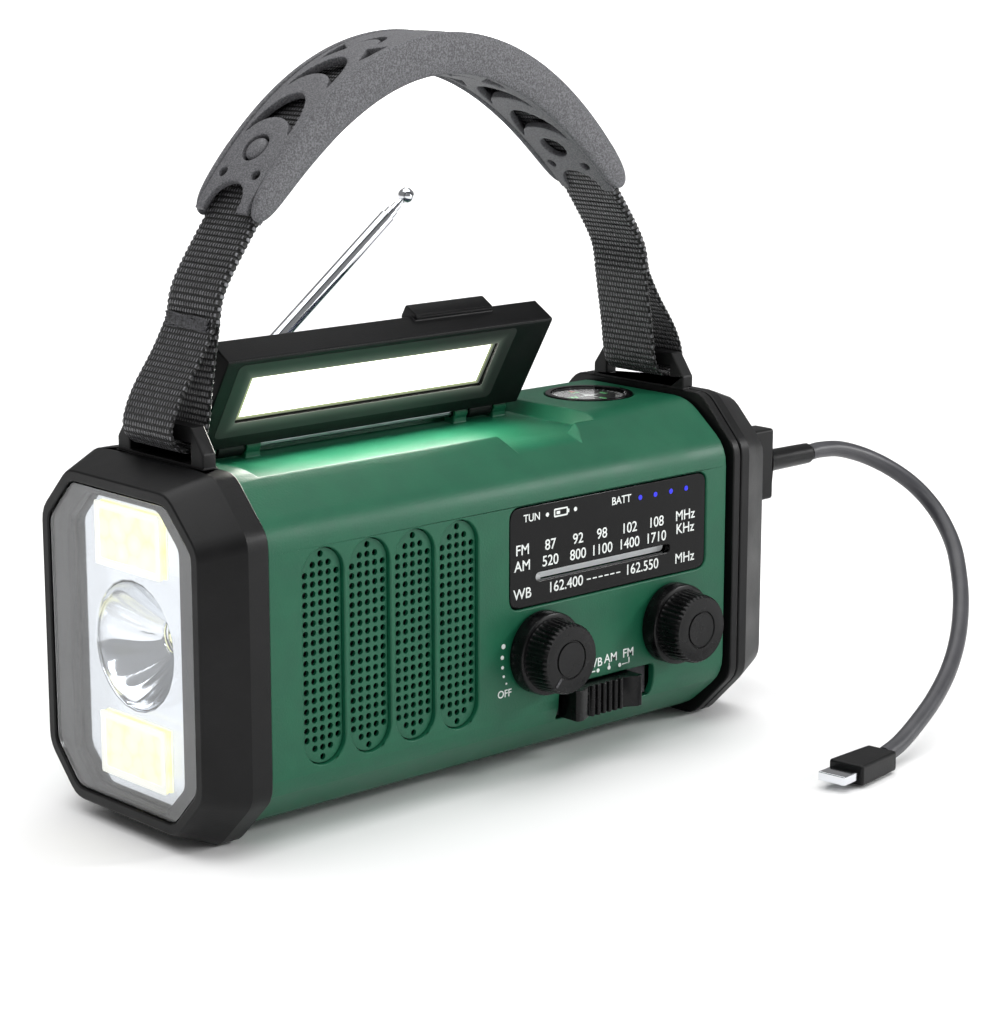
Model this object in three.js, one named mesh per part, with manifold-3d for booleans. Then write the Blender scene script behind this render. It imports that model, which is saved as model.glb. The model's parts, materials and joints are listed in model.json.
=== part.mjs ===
// Hand-crank emergency radio with a lamp head, a flip-up lamp and solar panel, a telescopic
// antenna, a compass, a webbing carrying handle and a short charging cable.
// Millimetres. X runs along the case (lamp head at -X), the dial faces -Y and +Z is up.
// The origin is on the surface that the radio stands on, under the middle of the case.
import * as THREE from 'three';
import { mergeVertices } from 'three/addons/utils/BufferGeometryUtils.js';
import { ConvexGeometry } from 'three/addons/geometries/ConvexGeometry.js';
import Module from 'manifold-3d';

const wasm = await Module();
wasm.setup();

// ---------------------------------------------------------------- driving dimensions
const GAP = 0.3; // clearance between separate pieces
const PAST = 6; // how far a cutting solid runs past the face it cuts
const FAR = 400; // a half space's reach, past everything
const MERGE = 1e-4; // vertices closer than this are one

// case shell
const SHELL_LEFT = -77.5;
const SHELL_RIGHT = 76.4;
const SHELL_HALF_DEPTH = 35.3;
const SHELL_LOW = 2.5;
const SHELL_HIGH = 88.7;
const SHELL_TOP_CHAMFER = [14.5, 11.7]; // along Y, along Z
const SHELL_BOTTOM_CHAMFER = [13.8, 12.1];
const SHELL_FOLD = 5; // radius of the soft folds
const WALL = 2.2;
const SPLIT_Y = 19; // the front and rear shells meet here

// end pieces: flange, sloped bevel and rim
const FLANGE_IN = 78;
const FLANGE_OUT = 84;
const RIM_X = 94.9;
const FLANGE_HALF_DEPTH = SHELL_HALF_DEPTH + 1.2;
const FLANGE_HIGH = SHELL_HIGH + 1.3;
const FLANGE_TOP_CHAMFER = [12.4, 13.1];
const FLANGE_BOTTOM_CHAMFER = [13.8, 13.8];
const RIM_HALF_DEPTH = SHELL_HALF_DEPTH - 3.5;
const RIM_LOW = 4.4;
const RIM_HIGH = SHELL_HIGH - 2.2;
const RIM_TOP_CHAMFER = [11.5, 11.6];
const RIM_BOTTOM_CHAMFER = [10.9, 11.4];
const RIM_WIDTH = 2.7;
const END_FOLD = 3;
const COLLAR_WIDTH = 2.7; // the ring between the shell and the right end cap
const SPIGOT_LENGTH = 2.6;
const SPIGOT_WALL = 2;

// strap lugs, sized by the webbing that they hold
const WEB_WIDTH = 20;
const WEB_THICKNESS = 1.5;
const WEB_PLAY = 2.2; // from an edge of the webbing to the side of its window
const LUG_X = 80.05; // middle of the lug plate
const LUG_THICKNESS = 3.9;
const LUG_HALF_WINDOW = WEB_WIDTH / 2 + WEB_PLAY;
const LUG_HALF_BASE = LUG_HALF_WINDOW + 5;
const LUG_HALF_TOP = LUG_HALF_WINDOW + 0.6;
const LUG_SHOULDER = FLANGE_HIGH + 3.4;
const LUG_HIGH = FLANGE_HIGH + 9.5;
const LUG_WINDOW_LOW = FLANGE_HIGH + 0.6;
const BAR_LOW = FLANGE_HIGH + 5.6; // leaves the webbing room to tilt

// lamp head
const LENS_THICKNESS = 1.5;
const LENS_RECESS = 0.5;
const INNER_FRAME_HALF = 22.5;
const INNER_FRAME_LOW = 8.5;
const INNER_FRAME_HIGH = 81.5;
const REFLECTOR_X = -90;
const REFLECTOR_PLATE = 1.2;
const CUP_Z = 46;
const CUP_RADIUS = 16;
const CUP_DEPTH = 13;
const CUP_THROAT = 4;
const COB_HALF_WIDTH = 13;
const COB_HEIGHT = 15.2;
const COB_THICKNESS = 0.7;
const COB_CENTRES = { upper: 72, lower: 20 };

// speaker
const SLOT_COUNT = 4;
const SLOT_FIRST_X = -61.3;
const SLOT_PITCH = 14.2;
const SLOT_WIDTH = 12.6;
const SLOT_HEIGHT = 53;
const SLOT_Z = 45.1;
const GRILLE_THICKNESS = 1.2;
const GRILLE_RECESS = 1;
const SPEAKER_RADIUS = 26;

// dial
const DIAL_LEFT = -2.1;
const DIAL_RIGHT = 68.8;
const DIAL_LOW = 45.4;
const DIAL_HIGH = 71.8;
const DIAL_CORNER = 3.4;
const WINDOW_THICKNESS = 1.6;
const SCALE_LEFT = 7.1;
const SCALE_RIGHT = 55.3;
const SCALE_Z = 52.9;
const SCALE_HEIGHT = 2.2;
const POINTER_WIDTH = 3.4;

// knobs
const VOLUME = { x: 8.1, z: 33.7 };
const TUNING = { x: 55.2, z: 33 };
const KNOB_SKIRT_RADIUS = 10.7;
const KNOB_SKIRT_DEPTH = 4.6;
const KNOB_BARREL_RADIUS = 9;
const KNOB_FLUTE_DEPTH = 0.45;
const KNOB_FLUTES = 26;
const KNOB_HEIGHT = 11.9;
const SHAFT_RADIUS = 3;

// band switch
const SWITCH_LEFT = 15.3;
const SWITCH_RIGHT = 49.7;
const SWITCH_LOW = 13.6;
const SWITCH_HIGH = 22.6;
const SLIDER_LENGTH = 23.8;
const SLIDER_START = 1.7; // from the left end of the opening to the slider
const SLIDER_PROUD = 5;
const SLIDER_RIBS = 6;
const SLIDER_RIB_PITCH = 2.05;

// compass
const COMPASS = { x: 60.7, y: 1.3, radius: 11.9 };
const COMPASS_DEPTH = 7.4;
const COMPASS_WALL = 1.5;
const COMPASS_GLASS = 0.8;
const COMPASS_CARD = 0.7;

// flip-up panel
const HINGE_Y = 8.9;
const HINGE_Z = SHELL_HIGH - 0.6;
const PANEL_OPEN = 59.5; // degrees from closed
const PANEL_LEFT = -67.5;
const PANEL_RIGHT = 38;
const PANEL_FRONT = -29.9; // from the hinge axis, panel closed
const PANEL_REAR = -2.1;
const PANEL_UNDER = -2.6;
const PANEL_TOP = 6.9;
const PANEL_EDGE = 1.6;
const LAMP_WINDOW = { left: -59.2, right: 21.8, front: -24.4, rear: -9.8 };
const LAMP_POCKET_DEPTH = 4.2;
const SOLAR_POCKET = { left: -64.5, right: 35, front: -26.9, rear: -5 };
const SOLAR_POCKET_DEPTH = 1.6;
const KNUCKLE_RADIUS = 2.4;
const KNUCKLE_LENGTH = 8;
const KNUCKLE_STARTS = [-60, 22];
const POST_LENGTH = 4.6;
const PIN_RADIUS = 1.2;
const RECESS_FLOOR = SHELL_HIGH - 3.7;
const RECESS_FRONT = -21.6;
const RECESS_REAR = 12.4;
const RECESS_SLOPE = 2.2; // how far the recess ends lean outwards
const TRAY_WALL = 2.2;
const NOTCH = { left: 8.3, right: 30.5, z: SHELL_HIGH - 5.3, y: -27.5 };

// antenna
const ANTENNA = { x: -66, y: SHELL_HALF_DEPTH - 5.3, z: SHELL_HIGH - 12.6 };
const ANTENNA_RAISED = 37.6; // degrees above the case top
const ANTENNA_RADII = [[2.1, 1.85], [1.65, 1.4], [1.2, 0.95], [0.7, 0]]; // outer, bore
const ANTENNA_START = 5;
const ANTENNA_REACH = 101;
const ANTENNA_STEP = 2.3; // how far each inner section stands out when collapsed
const ANTENNA_BALL = 2.2;
const GROOVE_HALF = 3.2;
const GROOVE_FLOOR = SHELL_HIGH - 16.3;
const GROOVE_LEFT = -72;
const GROOVE_RIGHT = 50;

// crank
const CRANK = { x: 22, z: 45 };
const CRANK_ARM_RADIUS = 34;
const CRANK_ARM_HALF_WIDTH = 8;
const CRANK_ARM_IN = SHELL_HALF_DEPTH + 3.3;
const CRANK_ARM_THICKNESS = 4.6;
const CRANK_ARM_OUT = CRANK_ARM_IN + CRANK_ARM_THICKNESS;
const CRANK_GRIP_RADIUS = 4.2;
const CRANK_GRIP_LENGTH = 19;
const GEAR_TEETH = 40;
const PINION_TEETH = 10;
const GEAR_MODULE = 1;
const GEAR_IN = SHELL_HALF_DEPTH - 7.8;
const GEAR_WIDTH = 3.5;

// rear buttons and case screws
const BUTTON_XS = { torch_button: -60, reading_lamp_button: -46, alarm_button: -32 };
const BUTTON_Z = 45;
const BUTTON_RADIUS = 4.5;
const SCREWS = [[-72.2, 24], [-72.2, 62], [71.2, 24], [71.2, 62]];
const SCREW_POST_RADIUS = 2.9;
const SCREW_RADIUS = 1.3;
const SCREW_HEAD_RADIUS = 2.8;

// batteries
const CELL_RADIUS = 9.1;
const CELL_LENGTH = 65;

// carrying handle
const STRAP_THICKNESS = 3; // two layers sewn together
const GRIP_SIDE = 2; // from the webbing to the outside of the grip
const GRIP_WIDTH = WEB_WIDTH + 2 * GRIP_SIDE;
const GRIP_HIGH = FLANGE_HIGH + 97.5;
const GRIP_HALF_SPAN = 63.5;
const GRIP_DEPTH = 10.2;
const GRIP_END_DEPTH = 6.6;
const MOUTH_REACH = 7; // the open mouth at each end that the webbing comes out of
const MOUTH_HALF = 6.9;
const PINHOLE = { x: 57.1, y: 6.3, radius: 1.7 };
const CRESCENTS = [
  { tips: 49, outer: 14, inner: 5.4, half: 8.6 },
  { tips: 37, outer: 13.6, inner: 5.5, half: 7.9 },
  { tips: 18.2, outer: 7.3, inner: 4.2, half: 4.1 },
];
const CRESCENT_WAIST = 0.86; // the inner curve's half width against the outer's
const CRESCENT_STEPS = 12;
const SLIT_X = 21;
const SLIT = [[-3.5, 8.6], [-0.5, 3.4], [6, 7.4], [3.5, 8.3]];
const JOINT = { x: 71.6, z: FLANGE_HIGH + 32 }; // where the webbing loop is sewn shut

// charging socket, plug and cable
const PORT = { y: -18.2, z: 66 };
const PORT_HALF_WIDTH = 3.1;
const PORT_HALF_HEIGHT = 6.8;
const SOCKET_WALL = 0.6;
const PLUG_FROM = 95.4;
const PLUG_TO = 110;
const PLUG_HALF_THICKNESS = 3.7;
const PLUG_HALF_HEIGHT = 10;
const BOOT_LENGTH = 18.5;
const CABLE_RADIUS = 2.3;
const CONNECTOR_LENGTH = 17;
const CABLE_ROUTE = [
  [129.2, -18.2, 66], [134, -18.2, 66.2], [142, -18.8, 65.4], [151, -21, 62.4], [158.6, -25, 57.9],
  [163.2, -30.4, 52.6], [164.4, -37.2, 46.2], [161.4, -45.4, 38.9], [154.6, -53.4, 31.9],
  [146, -61, 25.9], [135.2, -68.6, 20], [123.2, -75.3, 15], [110.1, -81, 10.7],
  [97.4, -85.3, 7.2], [87.5, -88, 4.7], [79.6, -89.5, 3.4],
];

// ---------------------------------------------------------------- materials
function plastic(color, roughness) {
  return new THREE.MeshStandardMaterial({ color, roughness, metalness: 0 });
}

function metal(color, roughness) {
  return new THREE.MeshStandardMaterial({ color, roughness, metalness: 1 });
}

const greenPlastic = plastic(0x24583f, 0.55);
const blackPlastic = plastic(0x1b1b1d, 0.5);
const glossBlack = plastic(0x0c0c0e, 0.15);
const greyPlastic = plastic(0x6b6b6e, 0.7);
const palePlastic = plastic(0xd9dde0, 0.4);
const clearPlastic = plastic(0xeef3f5, 0.05);
const lampYellow = plastic(0xf4ef9a, 0.4);
const webbing = plastic(0x151516, 0.9);
const boardGreen = plastic(0x1f5a38, 0.5);
const cableGrey = plastic(0x3d4043, 0.6);
const solarBlue = plastic(0x10182c, 0.2);
const ferriteGrey = plastic(0x3a3838, 0.8);
const cellBlue = plastic(0x2f4f8f, 0.4);
const chrome = metal(0xe6e6e8, 0.12);
const steel = metal(0xb9bcc0, 0.35);

// ---------------------------------------------------------------- shape helpers
const AXIS_X = new THREE.Vector3(1, 0, 0);
const AXIS_Y = new THREE.Vector3(0, 1, 0);
const AXIS_Z = new THREE.Vector3(0, 0, 1);
const ALONG_X = new THREE.Matrix4().makeBasis(AXIS_Y, AXIS_Z, AXIS_X);
const ALONG_Y = new THREE.Matrix4().makeBasis(AXIS_X, AXIS_Z, AXIS_Y.clone().negate());

function radians(degrees) {
  return THREE.MathUtils.degToRad(degrees);
}

function extrude(shape, depth, curveSegments = 8) {
  return new THREE.ExtrudeGeometry(shape, { depth, bevelEnabled: false, steps: 1, curveSegments });
}

// A shape in the Y-Z plane, pulled along X.
function extrudeX(shape, from, to, curveSegments) {
  return extrude(shape, to - from, curveSegments).applyMatrix4(ALONG_X).translate(from, 0, 0);
}

// A shape in the X-Z plane, pulled along Y.
function extrudeY(shape, from, to, curveSegments) {
  return extrude(shape, to - from, curveSegments).applyMatrix4(ALONG_Y).translate(0, to, 0);
}

// A shape in the X-Y plane, pulled along Z.
function extrudeZ(shape, from, to, curveSegments) {
  return extrude(shape, to - from, curveSegments).translate(0, 0, from);
}

function box(x0, x1, y0, y1, z0, z1) {
  const geometry = new THREE.BoxGeometry(x1 - x0, y1 - y0, z1 - z0);
  return geometry.translate((x0 + x1) / 2, (y0 + y1) / 2, (z0 + z1) / 2);
}

function rodX(x0, x1, y, z, radius, sides = 20) {
  const geometry = new THREE.CylinderGeometry(radius, radius, x1 - x0, sides);
  return geometry.rotateZ(-Math.PI / 2).translate((x0 + x1) / 2, y, z);
}

function rodY(y0, y1, x, z, radius, sides = 20) {
  const geometry = new THREE.CylinderGeometry(radius, radius, y1 - y0, sides);
  return geometry.translate(x, (y0 + y1) / 2, z);
}

function rodZ(z0, z1, x, y, radius, sides = 28) {
  const geometry = new THREE.CylinderGeometry(radius, radius, z1 - z0, sides);
  return geometry.rotateX(Math.PI / 2).translate(x, y, (z0 + z1) / 2);
}

// A profile of [radius, height] pairs turned about the Y axis, faces pointing out.
function turned(profile, sides = 28) {
  const points = profile.map(([radius, height]) => new THREE.Vector2(radius, height));
  return new THREE.LatheGeometry(points, sides);
}

function turnedX(profile, y, z, sides) {
  return turned(profile, sides).rotateZ(-Math.PI / 2).translate(0, y, z);
}

function turnedZ(profile, x, y, sides) {
  return turned(profile, sides).rotateX(Math.PI / 2).translate(x, y, 0);
}

function polygon(points) {
  return new THREE.Shape(points.map(([a, b]) => new THREE.Vector2(a, b)));
}

// A closed outline whose corners are rounded to the given radius.
function roundedOutline(corners, radius) {
  const shape = new THREE.Shape();
  const count = corners.length;
  for (let i = 0; i < count; i += 1) {
    const corner = new THREE.Vector2(...corners[i]);
    const before = new THREE.Vector2(
      ...corners[(i + count - 1) % count]
    ).sub(corner).setLength(radius).add(corner);
    const after = new THREE.Vector2(...corners[(i + 1) % count]).sub(corner).setLength(radius).add(corner);
    if (i === 0) {
      shape.moveTo(before.x, before.y);
    } else {
      shape.lineTo(before.x, before.y);
    }
    shape.quadraticCurveTo(corner.x, corner.y, after.x, after.y);
  }
  shape.closePath();
  return shape;
}

function roundedRectangle(a0, a1, b0, b1, radius) {
  return roundedOutline([[a0, b0], [a1, b0], [a1, b1], [a0, b1]], radius);
}

// Two half circles joined by straight sides, from one centre to the other.
function stadium(ax, az, bx, bz, radius) {
  const shape = new THREE.Shape();
  const angle = Math.atan2(bz - az, bx - ax);
  shape.absarc(bx, bz, radius, angle - Math.PI / 2, angle + Math.PI / 2, false);
  shape.absarc(ax, az, radius, angle + Math.PI / 2, angle + (3 * Math.PI) / 2, false);
  shape.closePath();
  return shape;
}

// An eight-sided section in Y-Z. The inset moves every side inwards by the same amount.
function octagon(halfDepth, low, high, topChamfer, bottomChamfer, inset = 0) {
  const shrink = inset * (2 - Math.SQRT2);
  const y = halfDepth - inset;
  const top = high - inset;
  const bottom = low + inset;
  const [ty, tz] = topChamfer.map((size) => size - shrink);
  const [by, bz] = bottomChamfer.map((size) => size - shrink);
  return [
    [-y, top - tz], [-y, bottom + bz], [-(y - by), bottom], [y - by, bottom],
    [y, bottom + bz], [y, top - tz], [y - ty, top], [-(y - ty), top],
  ];
}

function shellOctagon(inset = 0) {
  const chamfers = [SHELL_TOP_CHAMFER, SHELL_BOTTOM_CHAMFER];
  return octagon(SHELL_HALF_DEPTH, SHELL_LOW, SHELL_HIGH, ...chamfers, inset);
}

function flangeOctagon(inset = 0) {
  return octagon(FLANGE_HALF_DEPTH, 0, FLANGE_HIGH, FLANGE_TOP_CHAMFER, FLANGE_BOTTOM_CHAMFER, inset);
}

function rimOctagon(inset = 0) {
  return octagon(RIM_HALF_DEPTH, RIM_LOW, RIM_HIGH, RIM_TOP_CHAMFER, RIM_BOTTOM_CHAMFER, inset);
}

// The solid that joins two rounded octagons standing at two places along X.
function loftX(cornersA, xA, cornersB, xB, radius) {
  const points = [];
  for (const [corners, x] of [[cornersA, xA], [cornersB, xB]]) {
    for (const point of roundedOutline(corners, radius).getPoints(3)) {
      points.push(new THREE.Vector3(x, point.x, point.y));
    }
  }
  return new ConvexGeometry(points);
}

// ---------------------------------------------------------------- solids
function toSolid(geometry) {
  const bare = geometry.clone();
  bare.deleteAttribute('normal');
  bare.deleteAttribute('uv');
  const merged = mergeVertices(bare, MERGE);
  const vertProperties = Float32Array.from(merged.attributes.position.array);
  const triVerts = Uint32Array.from(merged.index.array);
  return new wasm.Manifold(new wasm.Mesh({ numProp: 3, vertProperties, triVerts }));
}

function toGeometry(solid) {
  const mesh = solid.getMesh();
  const geometry = new THREE.BufferGeometry();
  geometry.setAttribute('position', new THREE.BufferAttribute(mesh.vertProperties, 3));
  geometry.setIndex(new THREE.BufferAttribute(mesh.triVerts, 1));
  geometry.computeVertexNormals();
  return geometry;
}

function join(first, ...others) {
  return others.reduce((sum, other) => sum.add(toSolid(other)), toSolid(first));
}

function cut(solid, ...tools) {
  return tools.reduce((left, tool) => left.subtract(toSolid(tool)), solid);
}

// ---------------------------------------------------------------- the model
const radio = new THREE.Group();

function addTo(group, name, shape, material) {
  const geometry = shape.isBufferGeometry ? shape : toGeometry(shape);
  const mesh = new THREE.Mesh(geometry, material);
  mesh.name = name;
  group.add(mesh);
}

function add(name, shape, material) {
  addTo(radio, name, shape, material);
}

// ---- case shells
function shellTube() {
  const outer = toSolid(extrudeX(roundedOutline(shellOctagon(), SHELL_FOLD), SHELL_LEFT, SHELL_RIGHT, 4));
  const inner = roundedOutline(shellOctagon(WALL), SHELL_FOLD - WALL);
  return { outer, tube: cut(outer, extrudeX(inner, SHELL_LEFT - PAST, SHELL_RIGHT + PAST, 3)) };
}

function slotShape(index, inset = 0) {
  const x = SLOT_FIRST_X + index * SLOT_PITCH;
  const reach = (SLOT_HEIGHT - SLOT_WIDTH) / 2;
  return stadium(x, SLOT_Z - reach, x, SLOT_Z + reach, SLOT_WIDTH / 2 - inset);
}

function dialShape(inset = 0) {
  const sides = [DIAL_LEFT + inset, DIAL_RIGHT - inset, DIAL_LOW + inset, DIAL_HIGH - inset];
  return roundedRectangle(...sides, DIAL_CORNER - inset);
}

// The shallow bed in the case top that the panel lies in, with ends that lean outwards.
function recessShape() {
  const left = PANEL_LEFT - 2 * GAP;
  const right = PANEL_RIGHT + 2 * GAP;
  const rise = SHELL_HIGH - RECESS_FLOOR;
  const lean = (RECESS_SLOPE * (rise + PAST)) / rise;
  const top = SHELL_HIGH + PAST;
  return polygon([[left, RECESS_FLOOR], [right, RECESS_FLOOR], [right + lean, top], [left - lean, top]]);
}

// The finger notch: a sloped cut from the recess floor out through the upper front fold.
function notchSolid() {
  const slope = (RECESS_FLOOR - NOTCH.z) / (RECESS_FRONT - NOTCH.y);
  const points = [];
  for (const y of [RECESS_FRONT + 1, NOTCH.y - PAST]) {
    const floor = NOTCH.z + (y - NOTCH.y) * slope;
    const rise = SHELL_HIGH + PAST - floor;
    points.push(new THREE.Vector3(NOTCH.left, y, floor));
    points.push(new THREE.Vector3(NOTCH.right, y, floor));
    points.push(new THREE.Vector3(NOTCH.left - rise, y, floor + rise));
    points.push(new THREE.Vector3(NOTCH.right + rise, y, floor + rise));
  }
  return new ConvexGeometry(points);
}

function hingePosts() {
  const starts = KNUCKLE_STARTS.flatMap((x) => [x - 2 * GAP - POST_LENGTH, x + KNUCKLE_LENGTH + 2 * GAP]);
  return starts.map((x) => ({ from: x, to: x + POST_LENGTH }));
}

function frontShell() {
  const { outer, tube } = shellTube();
  const frontSpace = toSolid(box(-FAR, FAR, -FAR, SPLIT_Y - GAP / 2, -FAR, FAR));
  const tray = toSolid(box(
    PANEL_LEFT - 6, PANEL_RIGHT + 6, RECESS_FRONT - TRAY_WALL, RECESS_REAR + TRAY_WALL,
    RECESS_FLOOR - TRAY_WALL, SHELL_HIGH,
  )).intersect(outer);
  const face = -SHELL_HALF_DEPTH;
  let shell = tube.intersect(frontSpace).add(tray);
  for (const [x, z] of SCREWS) {
    shell = shell.add(
      toSolid(rodY(face + WALL / 2, SHELL_HALF_DEPTH - WALL - 2 * GAP, x, z, SCREW_POST_RADIUS, 12)),
    );
  }
  const cuts = [
    extrudeY(recessShape(), RECESS_FRONT, RECESS_REAR),
    notchSolid(),
    rodZ(SHELL_HIGH - PAST, SHELL_HIGH + PAST, COMPASS.x, COMPASS.y, COMPASS.radius + GAP, 40),
    extrudeY(dialShape(), face - PAST, face + PAST, 5),
    rodY(face - PAST, face + PAST, VOLUME.x, VOLUME.z, SHAFT_RADIUS + GAP),
    rodY(face - PAST, face + PAST, TUNING.x, TUNING.z, SHAFT_RADIUS + GAP),
    extrudeY(
      roundedRectangle(SWITCH_LEFT, SWITCH_RIGHT, SWITCH_LOW, SWITCH_HIGH, 1.2),
      face - PAST, face + PAST, 3,
    ),
  ];
  for (let i = 0; i < SLOT_COUNT; i += 1) {
    cuts.push(extrudeY(slotShape(i), face - PAST, face + PAST, 8));
  }
  for (const [x, z] of SCREWS) {
    cuts.push(rodY(SHELL_HALF_DEPTH - 16, SHELL_HALF_DEPTH, x, z, SCREW_RADIUS + GAP, 16));
  }
  shell = cut(shell, ...cuts);
  for (const post of hingePosts()) {
    shell = shell.add(toSolid(rodX(post.from, post.to, HINGE_Y, HINGE_Z, KNUCKLE_RADIUS)));
    shell = shell.add(
      toSolid(box(post.from, post.to, HINGE_Y - 1.9, HINGE_Y + 1.9, RECESS_FLOOR - 1, HINGE_Z)),
    );
  }
  return cut(shell, rodX(PANEL_LEFT, PANEL_RIGHT, HINGE_Y, HINGE_Z, PIN_RADIUS + GAP, 14));
}

function rearShell() {
  const { outer, tube } = shellTube();
  const rearSpace = toSolid(box(-FAR, FAR, SPLIT_Y + GAP / 2, FAR, -FAR, FAR));
  const trough = toSolid(box(
    GROOVE_LEFT - 2, GROOVE_RIGHT + 2, ANTENNA.y - GROOVE_HALF - 2, FAR, GROOVE_FLOOR - 2, SHELL_HIGH,
  )).intersect(outer);
  const face = SHELL_HALF_DEPTH;
  const boss = rodY(face - WALL, CRANK_ARM_IN - GAP, CRANK.x, CRANK.z, 10, 32);
  const grooveSides = [ANTENNA.y - GROOVE_HALF, ANTENNA.y + GROOVE_HALF];
  const cuts = [
    box(GROOVE_LEFT, GROOVE_RIGHT, ...grooveSides, GROOVE_FLOOR, SHELL_HIGH + PAST),
    rodY(face - PAST, face + PAST, CRANK.x, CRANK.z, SHAFT_RADIUS + GAP),
  ];
  for (const x of Object.values(BUTTON_XS)) {
    cuts.push(rodY(face - PAST, face + PAST, x, BUTTON_Z, BUTTON_RADIUS + GAP, 24));
  }
  for (const [x, z] of SCREWS) {
    cuts.push(rodY(face - PAST, face + PAST, x, z, SCREW_RADIUS + GAP, 16));
    cuts.push(rodY(face - 1.3, face + PAST, x, z, SCREW_HEAD_RADIUS + GAP, 20));
  }
  const shell = tube.intersect(rearSpace).add(trough).add(toSolid(boss));
  return cut(shell, ...cuts);
}

add('front_shell', frontShell(), greenPlastic);
add('rear_shell', rearShell(), greenPlastic);

// ---- end pieces
function lugShape(base) {
  const shape = polygon([
    [-LUG_HALF_BASE, base], [LUG_HALF_BASE, base], [LUG_HALF_BASE, LUG_SHOULDER],
    [LUG_HALF_TOP, LUG_HIGH], [-LUG_HALF_TOP, LUG_HIGH], [-LUG_HALF_BASE, LUG_SHOULDER],
  ]);
  const w = LUG_HALF_WINDOW;
  const hole = [[-w, LUG_WINDOW_LOW], [w, LUG_WINDOW_LOW], [w, BAR_LOW], [-w, BAR_LOW]];
  shape.holes.push(new THREE.Path(hole.map(([y, z]) => new THREE.Vector2(y, z))));
  return shape;
}

// A short ring that slides into the end of the shell tube.
function spigot(from, to) {
  const outer = roundedOutline(shellOctagon(WALL + GAP), SHELL_FOLD - WALL);
  const inner = roundedOutline(shellOctagon(WALL + GAP + SPIGOT_WALL), 1);
  return cut(toSolid(extrudeX(outer, from, to, 3)), extrudeX(inner, from - PAST, to + PAST, 1));
}

function lampHead() {
  const seat = -(RIM_X - LENS_RECESS - LENS_THICKNESS - GAP);
  const pocket = REFLECTOR_X - GAP;
  const half = LUG_THICKNESS / 2;
  let head = join(
    extrudeX(roundedOutline(flangeOctagon(), END_FOLD), -FLANGE_OUT, -FLANGE_IN, 3),
    loftX(rimOctagon(), -RIM_X, flangeOctagon(), -FLANGE_OUT, END_FOLD),
    extrudeX(lugShape(FLANGE_HIGH - 2), -LUG_X - half, -LUG_X + half),
  );
  const frame = octagon(INNER_FRAME_HALF, INNER_FRAME_LOW, INNER_FRAME_HIGH, [8, 8], [8, 8]);
  head = cut(
    head,
    extrudeX(roundedOutline(rimOctagon(RIM_WIDTH), 2), -RIM_X - PAST, seat, 3),
    extrudeX(roundedOutline(frame, 1.5), -RIM_X - PAST, pocket + 1, 3),
    extrudeX(roundedOutline(flangeOctagon(5.5), 2), pocket, -FLANGE_IN + PAST, 2),
  );
  return head.add(spigot(-FLANGE_IN - 1, -FLANGE_IN + SPIGOT_LENGTH));
}

function rightCollar() {
  const from = FLANGE_IN;
  const to = FLANGE_IN + COLLAR_WIDTH;
  const half = LUG_THICKNESS / 2;
  let ring = cut(
    toSolid(extrudeX(roundedOutline(flangeOctagon(), END_FOLD), from, to, 3)),
    extrudeX(roundedOutline(flangeOctagon(4), 2), from - PAST, to + PAST, 2),
  );
  ring = ring.add(toSolid(extrudeX(lugShape(FLANGE_HIGH + GAP), LUG_X - half, LUG_X + half)));
  ring = ring.add(
    toSolid(box(LUG_X - half, to, -LUG_HALF_BASE, LUG_HALF_BASE, FLANGE_HIGH - 2, FLANGE_HIGH + 2 * GAP)),
  );
  return ring.add(spigot(from - SPIGOT_LENGTH, from + 1));
}

// The opening in the end face that the socket stands in.
function portCut() {
  const y = PORT_HALF_WIDTH + SOCKET_WALL + GAP;
  const z = PORT_HALF_HEIGHT + SOCKET_WALL + GAP;
  return box(RIM_X - PAST, RIM_X + PAST, PORT.y - y, PORT.y + y, PORT.z - z, PORT.z + z);
}

function rightEndCap() {
  const from = FLANGE_IN + COLLAR_WIDTH + GAP;
  const body = join(
    extrudeX(roundedOutline(flangeOctagon(), END_FOLD), from, FLANGE_OUT, 3),
    loftX(flangeOctagon(), FLANGE_OUT, rimOctagon(), RIM_X, END_FOLD),
  );
  return cut(
    body,
    extrudeX(roundedOutline(rimOctagon(RIM_WIDTH), 2), RIM_X - 1, RIM_X + PAST, 3),
    loftX(flangeOctagon(4), from - PAST, rimOctagon(RIM_WIDTH), RIM_X - 3, 1),
    portCut(),
  );
}

add('lamp_head', lampHead(), blackPlastic);
add('right_collar', rightCollar(), blackPlastic);
add('right_end_cap', rightEndCap(), blackPlastic);

// ---- lamp
function reflector() {
  const plate = octagon(INNER_FRAME_HALF + 4, INNER_FRAME_LOW - 3, INNER_FRAME_HIGH + 3, [8, 8], [8, 8]);
  const inside = (depth) => CUP_THROAT + (CUP_RADIUS - CUP_THROAT) * Math.sqrt(1 - depth / CUP_DEPTH);
  const steps = 5;
  const bowl = [[0, REFLECTOR_X - 1]];
  const skin = [[0, REFLECTOR_X + REFLECTOR_PLATE / 2]];
  bowl.push([CUP_RADIUS, REFLECTOR_X - 1]);
  for (let i = 0; i <= steps; i += 1) {
    const depth = (CUP_DEPTH * i) / steps;
    bowl.push([inside(depth), REFLECTOR_X + depth]);
    skin.push([inside(depth) + 1, REFLECTOR_X + Math.max(depth, REFLECTOR_PLATE / 2)]);
  }
  bowl.push([CUP_THROAT, REFLECTOR_X + CUP_DEPTH + 2]);
  bowl.push([0, REFLECTOR_X + CUP_DEPTH + 2]);
  skin.push([0, REFLECTOR_X + CUP_DEPTH]);
  const body = join(
    extrudeX(roundedOutline(plate, 2), REFLECTOR_X, REFLECTOR_X + REFLECTOR_PLATE, 2),
    turnedX(skin, 0, CUP_Z, 24),
  );
  return cut(body, turnedX(bowl, 0, CUP_Z, 24));
}

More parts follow.
